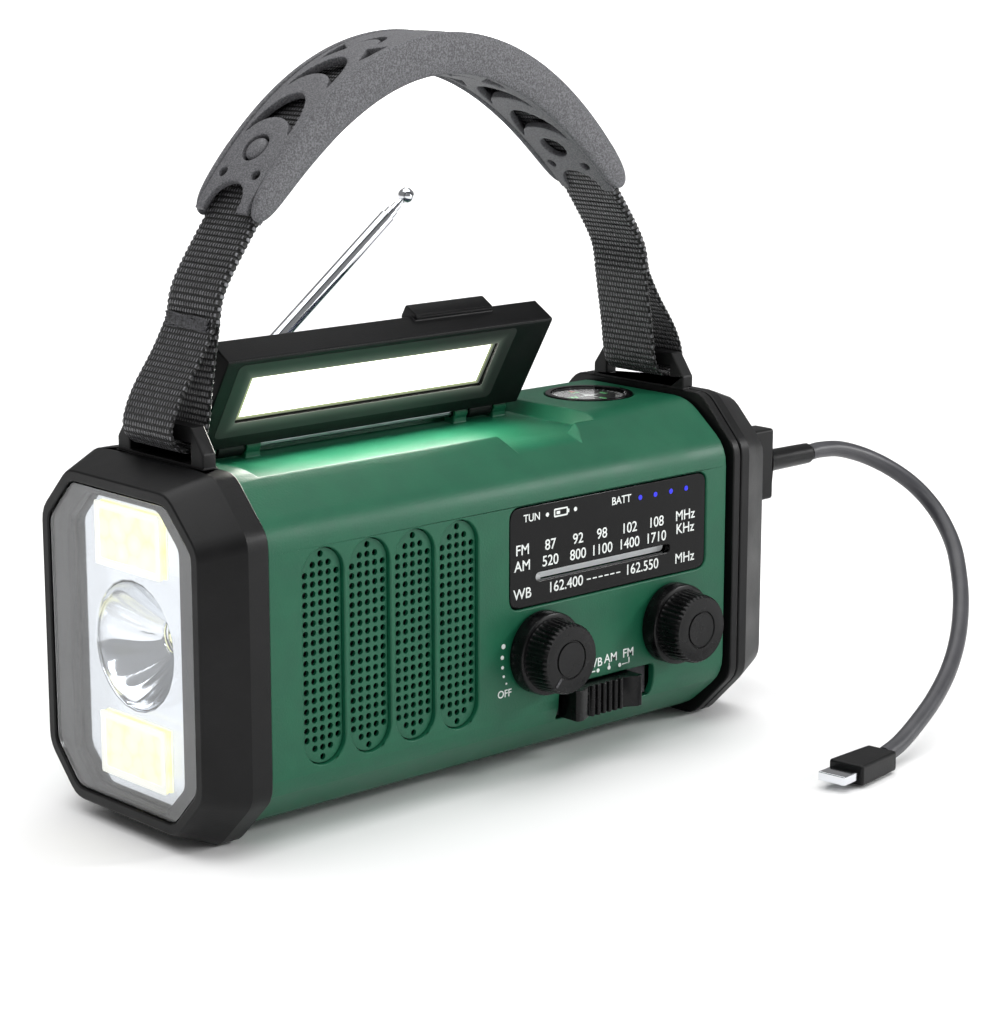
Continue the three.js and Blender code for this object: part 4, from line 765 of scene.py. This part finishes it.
def stadium(x, z, radius, half_height, steps=18):
    """Two half circles above and below, joined by straight sides."""
    t = np.linspace(0, math.pi, steps)
    reach = half_height - radius
    top = np.stack([x + radius * np.cos(t), z + reach + radius * np.sin(t)], 1)
    bottom = np.stack([x - radius * np.cos(t), z - reach - radius * np.sin(t)], 1)
    return np.vstack([top, bottom])


def grille_holes(x, z, settings):
    """Rows of round holes on a square pitch, fewer in the rows near the rounded ends."""
    holes = []
    rows = len(HOLE_PATTERN)
    for row, count in enumerate(HOLE_PATTERN):
        level = z + (row - (rows - 1) / 2) * settings.hole_pitch
        for column in range(count):
            across = x + (column - (count - 1) / 2) * settings.hole_pitch
            holes.append(circle(across, level, settings.hole_radius, 10))
    return holes


# ---- dial
DIAL_COLUMNS = (12.0, 21.7, 30.2, 40.1, 50.0)
FM_SCALE = ("87", "92", "98", "102", "108")
AM_SCALE = ("520", "800", "1100", "1400", "1710")
FM_LEVEL, AM_LEVEL, WB_LEVEL, TOP_LEVEL = 60.6, 56.5, 49.4, 68.5
DIAL_WORDS = [
    ("FM", 2.4, FM_LEVEL), ("AM", 2.4, AM_LEVEL), ("WB", 2.4, 49.3), ("MHz", 60.9, 60.9), ("KHz", 60.9, 57.4),
    ("MHz", 60.9, WB_LEVEL), ("TUN", 5.6, TOP_LEVEL, 2.75), ("BATT", 37.1, 68.4, 2.9),
    ("162.400", 17.4, WB_LEVEL), ("162.550", 44.9, WB_LEVEL),
]
DIAL_TEXT = 3.85


class RADIO_OT_dial(BuildStep, bpy.types.Operator):
    """Acrylic dial with its printed scales, pointer and indicator lamps"""
    bl_idname = "radio.dial"
    bl_label = "Dial"

    def build(self, settings):
        softened("dial_window", "acrylic", 0.25)
        softened("tuning_pointer", "acetal", 0.2)
        low, high = box_mm("dial_window")
        face = on_front(0, low[1] - PROUD, 0)
        words = DIAL_WORDS + [(text, x, FM_LEVEL) for text, x in zip(FM_SCALE, DIAL_COLUMNS)]
        words += [(text, x, AM_LEVEL) for text, x in zip(AM_SCALE, DIAL_COLUMNS)]
        printed("dial_scale_print", words, face, DIAL_TEXT, "case", "white")
        dashes = [rounded(x - 0.75, x + 0.75, 49.25, 49.55, 0.1, 3) for x in np.linspace(25.6, 36.2, 6)]
        battery = [rounded(13.2, 18.0, 67.4, 69.6, 0.3, 3), rounded(13.6, 17.6, 67.8, 69.2, 0.1, 3),
                   rounded(18.1, 18.5, 68.0, 69.0, 0.1, 3), rounded(14.1, 15.3, 68.1, 68.9, 0.1, 3)]
        marks = dashes + battery + [circle(x, TOP_LEVEL, 0.55, 16) for x in (10.9, 20.7)]
        plate("dial_mark_print", marks, INK, face, "case", "white")
        lamps = [circle(x, 68.1, 0.68, 20) for x in (44.0, 49.6, 55.4, 61.1)]
        plate("battery_lamps", lamps, 0.1, face, "case", "blue")
        track = rounded(6.6, 55.8, 51.6, 54.2, 1.3)
        # The guide sits behind the slot and glows faintly: painted light that lifts it out of the slot's shade.
        plate("scale_backing", [track], 0.3, on_front(0, high[1] + 1.7, 0), "case", "guide")


# ---- printed marks on the shell
VOLUME_DOTS = (
    (-3.2, 27.2, 0.28), (-4.1, 29.2, 0.36), (-4.5, 31.6, 0.45), (-4.6, 34.2, 0.55), (-4.2, 37.0, 0.66),
)
BUTTON_MARKS = 53.2


class RADIO_OT_marks(BuildStep, bpy.types.Operator):
    """Printed marks beside the knobs and the band switch, and symbols beside the rear buttons"""
    bl_idname = "radio.marks"
    bl_label = "Printed marks"

    def build(self, settings):
        face = box_mm("front_shell")[0][1] - PROUD
        words = [("WB", 27.9, 26.6), ("AM", 33.6, 27.0), ("FM", 40.0, 27.2), ("OFF", -3.8, 24.6, 2.7)]
        printed("switch_print", words, on_front(0, face, 0), 3.3, "case", "white")
        marks = [circle(x, z, radius, 14) for x, z, radius in VOLUME_DOTS]
        marks += [circle(x, 24.5, 0.55, 12) for x in (29.0, 33.0, 36.9)]
        marks += [rounded(25.6, 28.0, 24.34, 24.66, 0.05, 2), rounded(25.54, 25.86, 24.6, 26.0, 0.05, 2),
                  rounded(32.84, 33.16, 24.9, 25.8, 0.05, 2), rounded(37.8, 40.4, 24.34, 24.66, 0.05, 2),
                  rounded(40.14, 40.46, 24.6, 26.0, 0.05, 2)]
        plate("switch_marks", marks, INK, on_front(0, face, 0), "case", "white")
        symbols = [circle(x, BUTTON_MARKS, radius, 24) for x in (60, 46, 32) for radius in (1.5, 1.1)]
        symbols += [rounded(60 - 0.2, 60 + 0.2, BUTTON_MARKS, 55.4, 0.1, 3), circle(46, BUTTON_MARKS, 0.6, 16),
                    rounded(32 - 0.55, 32 + 0.55, 52.8, 53.6, 0.2, 3)]
        plate("button_symbols", symbols, INK, on_rear(0, -face, 0), "case", "white")


# ---- knobs and band slider
FLUTE_DEPTH = 0.3


class RADIO_OT_knobs(BuildStep, bpy.types.Operator):
    """Two fluted knobs and the ribbed band slider"""
    bl_idname = "radio.knobs"
    bl_label = "Knobs"

    def build(self, settings):
        for node in ("volume_knob", "tuning_knob"):
            fluted_knob(node, settings.flutes)
        volume_mark()
        softened("band_slider", "knob", 0.22)
        repaint("volume_shaft", "steel")
        repaint("tuning_shaft", "steel")


def fluted_knob(node, flutes):
    """A turned knob with a plain skirt. Round the barrel the radius falls by a rounded cosine flute."""
    low, high = box_mm(node)
    x, z = middle_xz(node)
    back, depth = high[1], high[1] - low[1]
    profile = [(0.0, 0.0), (3.3, 0.0), (10.3, 0.0), (10.7, 0.4), (10.7, 4.0), (10.5, 4.5), (10.1, 4.7),
               (9.5, 4.75), (9.4, 5.2), (9.3, 6.5), (9.2, 8.5), (9.1, 10.2), (8.95, 10.9), (8.5, 11.5),
               (8.0, depth - 0.1), (7.4, depth), (5.05, depth - 0.02), (4.9, depth - 0.35),
               (4.6, depth - 0.35), (4.45, depth - 0.02), (0, depth - 0.02)]

    def flute(t, radius, height):
        within = np.clip((height - 4.9) / 0.5, 0, 1) * np.clip((11.5 - height) / 0.6, 0, 1)
        return -FLUTE_DEPTH * within * (0.5 + 0.5 * np.cos(flutes * t)) ** 2

    mesh = turned(node + "_turned", profile, (x, back, z), (0, -1, 0), flutes * 8, flute)
    mesh.transform(Matrix.Scale(MM, 4))
    piece = object_from(node + "_turned", mesh)
    finish_piece(piece, BODY_OF[node], "knob", (node,), angle=40)


def volume_mark():
    """A short raised mark across the volume knob's face, towards the printed dots."""
    x, z = middle_xz("volume_knob")
    bar = spun(rounded(-0.35, 0.35, 5.4, 8.2, 0.3, 4), math.radians(140))
    face = on_front(x, box_mm("volume_knob")[0][1] - 0.02, z)
    plate("volume_mark", [bar], 0.2, face, "volume", "thread")


# ---- lamp head
LAMP_HEIGHT = 46.0


class RADIO_OT_lamp(BuildStep, bpy.types.Operator):
    """Lens, faceted reflector and lit panels of the lamp head"""
    bl_idname = "radio.lamp"
    bl_label = "Lamp head"

    def build(self, settings):
        softened("lamp_lens", "clear", 0.3)
        softened("lamp_reflector", "mirror", 0.3)
        reflector_petals()
        for side in ("upper", "lower"):
            softened(f"cob_lamp_{side}", "cob", 0.15)
            cob_frame(f"cob_lamp_{side}")
        softened("torch_led", "cob", 0.2)


def reflector_petals():
    """A bowl with turned petals inside the reflector's cup: radius follows the root of the depth left, and
    the depth wavers with the angle and the turn of each ring."""
    low = box_mm("lamp_reflector")[0]
    rings, sides = 28, 144
    s = np.linspace(0.0, 1.0, rings)[:, None]
    t = np.linspace(0, TAU, sides, endpoint=False)[None, :]
    radius = 4.6 + 10.9 * (1 - s ** 1.2)
    petals = 0.32 * np.abs(np.sin(9 * t + 3.2 * s)) * np.sin(math.pi * s)
    depth = low[0] + 0.4 + 11.6 * s ** 0.9 - petals
    y, z = radius * np.cos(t), LAMP_HEIGHT + radius * np.sin(t)
    points = np.stack([depth, y, z], axis=-1)
    back = points + np.array([0.4, 0, 0])
    grid = np.concatenate([points, back[::-1]], axis=0)
    mesh = closed_mesh("reflector_petals", grid.reshape(-1, 3) * MM, grid_faces(2 * rings, sides, True, True))
    finish_piece(object_from("reflector_petals", mesh), "case", "mirror", angle=50)


def cob_frame(node):
    """A white ceramic border round a lit panel, with a painted glow for the light the panel throws on it."""
    low, high = box_mm(node)
    outer = rounded(low[1] - 0.2, high[1] + 0.2, low[2] - 0.2, high[2] + 0.2, 0.6)
    inner = rounded(low[1] + 1.5, high[1] - 1.5, low[2] + 1.5, high[2] - 1.5, 0.8)
    facing = Matrix(((0, 0, -1, (low[0] - 0.1) * MM), (-1, 0, 0, 0), (0, 1, 0, 0), (0, 0, 0, 1)))
    outer[:, 0] *= -1
    inner[:, 0] *= -1
    plate(node + "_border", [outer, inner], 0.2, facing, "case", "ceramic")


# ---- flip-up panel
SOLAR_X = (-64.0, 34.6)
SOLAR_Y = (-26.4, -5.4)
CELL_TOP = 6.75
SURROUND_UNDER = 2.66


class RADIO_OT_panel(BuildStep, bpy.types.Operator):
    """Flip-up panel: reading lamp, solar cells and hinge"""
    bl_idname = "radio.panel"
    bl_label = "Flip-up panel"

    def build(self, settings):
        softened("panel_frame", "black", 0.35)
        softened("reading_lamp_lens", "glow", 0.2)
        # The surround is a thin plate under the frame in the glow material: painted glow standing for the lamp's
        # light on the recess round the lens.
        outlines = [rounded(-63.6, 26.2, -28.4, -5.8, 1.6), rounded(-58.9, 21.5, -24.1, -10.1, 0.6)]
        under = panel_frame_matrix() @ Matrix.Translation((0, 0, -SURROUND_UNDER * MM))
        plate("reading_lamp_painted_glow_surround", outlines, 0.08, under, "panel", "glow")
        softened("solar_panel", "silicon", 0.1)
        solar_fingers()
        repaint("panel_hinge_pin", "steel")


def panel_frame_matrix():
    """The panel's own frame: X along the hinge, Y across and Z through the closed panel. Millimetres."""
    low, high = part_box("panel_hinge_pin")
    middle = (low + high) / 2
    turn = Matrix.Rotation(math.radians(-PANEL_OPEN), 4, "X")
    return Matrix.Translation((0, middle.y, middle.z)) @ turn


def solar_fingers():
    """Silver bus bars printed on the cells, and the dark gaps between cells."""
    (x0, x1), (y0, y1), count = SOLAR_X, SOLAR_Y, 10
    bars = [rounded(x0 + 0.8, x1 - 0.8, y - 0.25, y + 0.25, 0.1, 2) for y in (-21.0, -10.8)]
    gaps = [rounded(x - 0.25, x + 0.25, y0 + 0.6, y1 - 0.6, 0.1, 2)
            for x in (x0 + i * ((x1 - x0) / count) for i in range(1, count))]
    matrix = panel_frame_matrix() @ Matrix.Translation((0, 0, CELL_TOP * MM))
    plate("solar_bus_bars", bars, INK, matrix, "panel", "steel")
    plate("solar_cell_gaps", gaps, 0.05, matrix, "panel", "acetal")


# ---- compass
class RADIO_OT_compass(BuildStep, bpy.types.Operator):
    """Compass housing, card with its printed ring, letters, star and arrow, and cover"""
    bl_idname = "radio.compass"
    bl_label = "Compass"

    def build(self, settings):
        softened("compass_housing", "knob", 0.25)
        softened("compass_window", "cover", 0.1)
        softened("compass_card", "black", 0.1)
        low, high = box_mm("compass_card")
        x, y, top = (low[0] + high[0]) / 2, (low[1] + high[1]) / 2, high[2] + 0.04
        card = on_top(x, y, top)
        ring = tick_ring(9.3, 8.5, 8.1, 36)
        plate("compass_degree_ring", ring, INK, card, "compass", "white")
        words = [("N", 0, 5.6), ("S", 0, -5.6), ("E", 5.6, 0), ("W", -5.6, 0)]
        printed("compass_letters", words, card, 3.2, "compass", "luminous")
        plate("compass_star", [compass_star(3.6, 0.9)], 0.1, card, "compass", "white")
        arrow = [(0.9, 6.0), (-0.9, 6.0), (0, 8.0)]
        plate("compass_north", [arrow], 0.1, on_top(x, y, top + 0.05), "compass", "red")


def tick_ring(outer, inner, long_inner, count):
    """Short bars round a circle, every ninth one longer."""
    bars = []
    for i in range(count):
        start, half = (long_inner, 0.16) if i % 9 == 0 else (inner, 0.09)
        bar = np.array([(start, -half), (outer, -half), (outer, half), (start, half)])
        bars.append(spun(bar, TAU * i / count))
    return bars


def compass_star(long, short):
    """A four-pointed star: radius alternates between two values every 45 degrees."""
    t = np.arange(8) * TAU / 8
    radius = np.where(np.arange(8) % 2 == 0, long, short)
    return np.stack([radius * np.cos(t), radius * np.sin(t)], 1)


# ---- antenna
class RADIO_OT_antenna(BuildStep, bpy.types.Operator):
    """Chromed telescopic tubes, their collars and the fork"""
    bl_idname = "radio.antenna"
    bl_label = "Antenna"

    def build(self, settings):
        for index in range(4):
            softened(f"antenna_section_{index + 1}", "chrome", 0.12)
        softened("antenna_fork", "steel", 0.12)


# ---- crank and inner parts
class RADIO_OT_crank(BuildStep, bpy.types.Operator):
    """Crank arm, folding handle and grip"""
    bl_idname = "radio.crank"
    bl_label = "Crank"

    def build(self, settings):
        softened("crank_arm", "black", 0.4)
        softened("crank_grip", "knob", 0.5, segments=3)
        softened("crank_handle", "steel", 0.15)


INNER_FINISHES = {
    "crank_shaft": "steel", "crank_gear": "acetal", "generator_pinion": "acetal", "gear_plate": "steel",
    "generator": "steel", "battery_cell": "wrap", "main_board": "board", "ferrite_rod": "ferrite",
    "speaker": "black", "volume_control": "steel", "tuning_capacitor": "acetal", "band_switch": "ferrite",
}


class RADIO_OT_inner(BuildStep, bpy.types.Operator):
    """Finishes of the pieces inside the case"""
    bl_idname = "radio.inner"
    bl_label = "Inner pieces"

    def build(self, settings):
        for node, finish in INNER_FINISHES.items():
            repaint(node, finish)


# ---- carrying handle
JOINT = (71.6, 122.0)
BAND_THICK, BAND_POINTS = 2.6, 900
LOOP_THICK, LOOP_POINTS, LOOP_EASE = 1.15, 340, 0.15
LOOP_CORNERS = [
    (71.7, 122.4), (76.2, 114.6), (82.4, 105.6), (85.2, 98.6), (83.9, 94.6), (80.2, 93.1), (76.4, 94.6),
    (74.6, 99), (73.6, 106.4), (72.2, 114.6), (70.9, 122.4),
]


class RADIO_OT_handle(BuildStep, bpy.types.Operator):
    """Webbing loops and band, sewn joints and the speckled grip"""
    bl_idname = "radio.handle"
    bl_label = "Carrying handle"

    def build(self, settings):
        grip_pieces()
        half = settings.web_width / 2
        line = smooth_line(np.array(strap_line()), BAND_POINTS)
        band = webbing_band("webbing_band", line, BAND_THICK, half)
        finish_piece(band, "handle", "webbing", ("carry_strap",), angle=60)
        for side, name in ((-1, "left"), (1, "right")):
            loop = smooth_line(np.array([(side * x, z) for x, z in LOOP_CORNERS]), LOOP_POINTS)
            piece = webbing_band(f"webbing_loop_{name}", loop, LOOP_THICK, half - LOOP_EASE)
            finish_piece(piece, "handle", "webbing", angle=60)
            bar_tack(name, side, half)


GRIP_SPAN = 63.5
GRIP_DEPTH = 10.2
GRIP_END_DEPTH = 6.6
GRIP_STRIP = 1.6
CROWN = 0.35
BUTTON_AT = 59.8
BUTTON_RADIUS = 3.15
WEB_DEPTH = 4.9


def arch_height(x):
    """Height of the grip's top curve in millimetres: a parabola that steepens a little at its ends."""
    return 187.5 - 0.0087 * x * x - 3e-7 * x ** 4


def arch_depth(x):
    """Depth of the grip below its top curve: even in the middle, less towards the ends."""
    return GRIP_DEPTH - (GRIP_DEPTH - GRIP_END_DEPTH) * (np.abs(x) / GRIP_SPAN) ** 4


ARCH_X = np.linspace(-GRIP_SPAN, GRIP_SPAN, 801)
ARCH_SLOPE = -0.0174 * ARCH_X - 1.2e-6 * ARCH_X ** 3
ARCH_LENGTH = np.concatenate([[0], np.cumsum(np.hypot(np.diff(ARCH_X), np.diff(arch_height(ARCH_X))))])
ARCH_LENGTH = ARCH_LENGTH - ARCH_LENGTH[-1] / 2
ARCH_REACH = ARCH_LENGTH[-1]


def on_arch(s, y, w):
    """Points at arc length s from the top, y across, and w out along the arch's normal. Millimetres."""
    x = np.interp(s, ARCH_LENGTH, ARCH_X)
    slope = np.interp(s, ARCH_LENGTH, ARCH_SLOPE)
    size = np.sqrt(1 + slope ** 2)
    return np.stack([x - slope / size * w, y + 0 * x, arch_height(x) + w / size], axis=-1)


def crescent(tip, outer, inner, half, steps=14):
    """Outline of a crescent: two half-cosine bows from tip to tip, one reaching outer and one inner."""
    t = np.linspace(-math.pi / 2, math.pi / 2, steps)
    far = np.stack([tip + (outer - tip) * np.cos(t), half * np.sin(t)], 1)
    near = np.stack([tip + (inner - tip) * np.cos(t), half * 0.86 * np.sin(t)], 1)
    return np.vstack([far, near[::-1][1:-1]])


def grip_openings(side):
    """Outlines of one end's openings, in arc length and width: holes, crescents and slits."""
    shapes = [circle(67.5, 6.3, 1.7, 16), circle(67.5, -6.3, 1.7, 16), circle(BUTTON_AT, 0, 4.3, 26),
              crescent(56.0, 41.2, 50.4, 8.6), crescent(39.6, 25.5, 33.9, 7.9), crescent(18.6, 11.2, 14.4, 4.1, 10)]
    for flip in (-1, 1):
        shapes.append(np.array([(17.6, 8.6), (20.8, 3.4), (27.6, 7.4), (24.6, 8.3)]) * (1, flip))
    return [shape * (side, 1) for shape in shapes]


def grip_plate(name, low, high):
    """A flat plate with its openings and end mouths, cut into short strips and bent round the arch.
    Heights low and high are shares of the arch's depth below its top."""
    reach, half, mouth = ARCH_REACH - 0.6, 9.4, 6.9
    t = np.linspace(-math.pi / 2, math.pi / 2, 13)
    right_mouth = np.stack([reach - 8.0 * np.cos(t) ** 0.8, -mouth * np.sin(t)], 1)[::-1]
    right = np.vstack([[(reach, -half)], right_mouth, [(reach, half)]])
    outline = np.vstack([right, (right * (-1, -1))])
    outlines = [outline] + grip_openings(-1) + grip_openings(1)
    mesh = outline_plate(name, outlines, 1.0, Matrix.Scale(1 / MM, 4), bevel=0.3)
    work = bmesh.new()
    work.from_mesh(mesh)
    for s in np.arange(-74, 75, GRIP_STRIP):
        geometry = work.verts[:] + work.edges[:] + work.faces[:]
        bmesh.ops.bisect_plane(work, geom=geometry, dist=1e-5, plane_co=(s, 0, 0), plane_no=(1, 0, 0))
    work.to_mesh(mesh)
    work.free()
    co = points_of(mesh)
    depth = arch_depth(np.interp(co[:, 0], ARCH_LENGTH, ARCH_X))
    share = (co[:, 2] / (2 * np.abs(co[:, 2]).max()) + 0.5)
    w = -depth * (low + (high - low) * (1 - share))
    crown = CROWN if low == 0 else -CROWN
    bent = on_arch(co[:, 0], co[:, 1], w + crown * (1 - (co[:, 1] / half) ** 2) - crown) * MM
    mesh.vertices.foreach_set("co", bent.ravel())
    mesh.update()
    piece = object_from(name, mesh)
    return finish_piece(piece, "handle", "tpr", angle=38)


def grip_flange(name, side):
    """A side wall of the grip: a soft-cornered section carried round the arch and rounded off at its ends.
    Across it, y = middle + 1.05 |cos t|^0.55 and w = half depth times |sin t|^0.7, each with its own sign."""
    s = ARCH_REACH * np.sin(np.linspace(-math.pi / 2, math.pi / 2, 181))
    t = np.linspace(0, TAU, 28, endpoint=False)
    ends = np.sqrt(np.clip(1 - (np.abs(s) / ARCH_REACH) ** 26, 0, 1))
    depth = arch_depth(np.interp(s, ARCH_LENGTH, ARCH_X)) + 0.1
    across = np.sign(np.cos(t)) * np.abs(np.cos(t)) ** 0.55
    up = np.sign(np.sin(t)) * np.abs(np.sin(t)) ** 0.7
    bulge = 0.25 * np.cos(np.pi * up / 2)
    y = side * (10.72 + 1.05 * across[None] * ends[:, None] + bulge[None] * ends[:, None] * (across[None] > 0))
    w = -depth[:, None] / 2 + (depth[:, None] / 2) * up[None] * ends[:, None]
    points = on_arch(np.repeat(s[:, None], len(t), 1), y, w)
    faces = grid_faces(len(s), len(t), False, True)
    mesh = closed_mesh(name, points.reshape(-1, 3) * MM, faces, merge=1e-5)
    finish_piece(object_from(name, mesh), "handle", "tpr", angle=50)


def grip_button(name, s):
    """A domed button in the round opening near each end: a low paraboloid on a short stem."""
    r = np.linspace(0, BUTTON_RADIUS, 9)
    profile = [(0, -4.6), (BUTTON_RADIUS, -4.6)]
    profile += [(radius, 0.35 - 0.9 * (radius / BUTTON_RADIUS) ** 4) for radius in r[::-1]]
    centre, tip = on_arch(np.array([s, s]), 0.0, np.array([0.0, 1.0]))
    mesh = turned(name, profile, centre, tip - centre, 36)
    mesh.transform(Matrix.Scale(MM, 4))
    finish_piece(object_from(name, mesh), "handle", "tpr", angle=50)


def grip_pieces():
    """The moulded grip: top and bottom plates with their openings, two side walls and two buttons."""
    top = grip_plate("grip_top_plate", 0.0, 0.22)
    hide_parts("handle_grip")
    grip_plate("grip_bottom_plate", 0.8, 1.0)
    for side, name in ((-1, "front"), (1, "rear")):
        grip_flange(f"grip_wall_{name}", side)
    for side, name in ((-1, "left"), (1, "right")):
        grip_button(f"grip_button_{name}", side * BUTTON_AT)


def strap_line():
    """Middle line of the webbing: up from the left joint, through the grip and down to the right joint."""
    middle = on_arch(np.linspace(-ARCH_REACH + 3, ARCH_REACH - 3, 13), 0.0, -WEB_DEPTH)[:, [0, 2]]
    return [(-JOINT[0], JOINT[1]), (-68.9, 131)] + [tuple(point) for point in middle] + [(68.9, 131), JOINT]


def points_of(mesh):
    """The points of a mesh as an array."""
    co = np.zeros(len(mesh.vertices) * 3)
    mesh.vertices.foreach_get("co", co)
    return co.reshape(-1, 3)


RIB_SWELL = 0.24
EDGE_SWELL = 0.018
CHUNKS = 24


def webbing_band(name, line, thickness, half):
    """A flat band along a line in the X-Z plane. Its section is a rounded rectangle, and both its thickness
    and its half width swell by |sin| of the place along it, once for each woven rib. Millimetres."""
    line = np.asarray(line)
    along = np.gradient(line, axis=0)
    along /= np.linalg.norm(along, axis=1)[:, None]
    normal = np.stack([-along[:, 1], along[:, 0]], 1)
    length = np.concatenate([[0], np.cumsum(np.linalg.norm(np.diff(line, axis=0), axis=1))])
    rib = np.abs(np.sin(math.pi * length / RIB))[:, None]
    edge = np.linspace(-math.pi / 2, math.pi / 2, 6)
    r = thickness / 2
    right = np.stack([half - r + r * np.cos(edge), r * np.sin(edge)], 1)
    widths = np.linspace(-(half - r), half - r, 9)[1:-1]
    upper = np.stack([widths[::-1], 0 * widths + r], 1)
    lower = np.stack([widths, 0 * widths - r], 1)
    section = np.vstack([right, upper, -right, lower])
    out = section[None, :, 1] * (1 - RIB_SWELL + RIB_SWELL * rib)
    across = section[None, :, 0] * (1 - EDGE_SWELL + EDGE_SWELL * rib)
    place_x, place_z = (line[:, None, axis] + normal[:, None, axis] * out for axis in (0, 1))
    points = np.stack([place_x, across, place_z], -1)
    mesh = closed_mesh(name, points.reshape(-1, 3) * MM, capped_faces(len(line), len(section)))
    cloth_map(mesh, line, length)
    return object_from(name, mesh)


def cloth_map(mesh, line, length):
    """UV map in millimetres: U is the distance along the band's line, and V the place across it."""
    layer = mesh.uv_layers.new(name="cloth")
    co = points_of(mesh) / MM
    nearest = np.concatenate([np.argmin(((part[:, None, [0, 2]] - line[None]) ** 2).sum(-1), axis=1)
                              for part in np.array_split(co, CHUNKS)])
    loops = np.zeros(len(mesh.loops), int)
    mesh.loops.foreach_get("vertex_index", loops)
    uv = np.stack([co[loops, 1], length[nearest[loops]]], 1)
    layer.data.foreach_set("uv", uv.ravel())


def bar_tack(name, side, half):
    """Rows of zigzag stitches over the joint where the loop is sewn shut."""
    turns = 9
    u = np.linspace(0, 1, 220)
    across = np.abs(((u * turns * 2) % 2) - 1) * 2 - 1
    z = 121.0 + 2.4 * u + 0.5 * np.sin(u * 90)
    upper, joint = np.array(strap_line())[-2:]
    x = np.interp(z, (joint[1], upper[1]), (joint[0], upper[0]))
    path = np.stack([side * (x + 1.75), across * (half - 1.2), z - 0.4], 1) * MM
    piece = object_from(f"bar_tack_{name}", tube_along(f"bar_tack_{name}", path, 0.28 * MM, 6))
    finish_piece(piece, "handle", "thread", angle=80)


# ---- add-on parts
OPERATORS = (
    RADIO_OT_stage, RADIO_OT_cable, RADIO_OT_case, RADIO_OT_grille, RADIO_OT_dial, RADIO_OT_marks, RADIO_OT_knobs,
    RADIO_OT_lamp, RADIO_OT_panel, RADIO_OT_compass, RADIO_OT_antenna, RADIO_OT_crank, RADIO_OT_inner,
    RADIO_OT_handle,
)


class RADIO_PT_panel(bpy.types.Panel):
    bl_label = "Emergency Radio"
    bl_idname = "RADIO_PT_panel"
    bl_space_type = "VIEW_3D"
    bl_region_type = "UI"
    bl_category = "Radio"

    def draw(self, context):
        settings = context.scene.radio
        for name in RadioSettings.__annotations__:
            self.layout.prop(settings, name)
        for operator in OPERATORS:
            self.layout.operator(operator.bl_idname)


CLASSES = (RadioSettings, *OPERATORS, RADIO_PT_panel)


def register():
    for cls in CLASSES:
        bpy.utils.register_class(cls)
    bpy.types.Scene.radio = PointerProperty(type=RadioSettings)


def unregister():
    del bpy.types.Scene.radio
    for cls in reversed(CLASSES):
        bpy.utils.unregister_class(cls)


def main():
    register()
    make_materials(bpy.context.scene.radio)
    for operator in OPERATORS:
        group, name = operator.bl_idname.split(".")
        getattr(getattr(bpy.ops, group), name)()


if __name__ == "__main__":
    main()
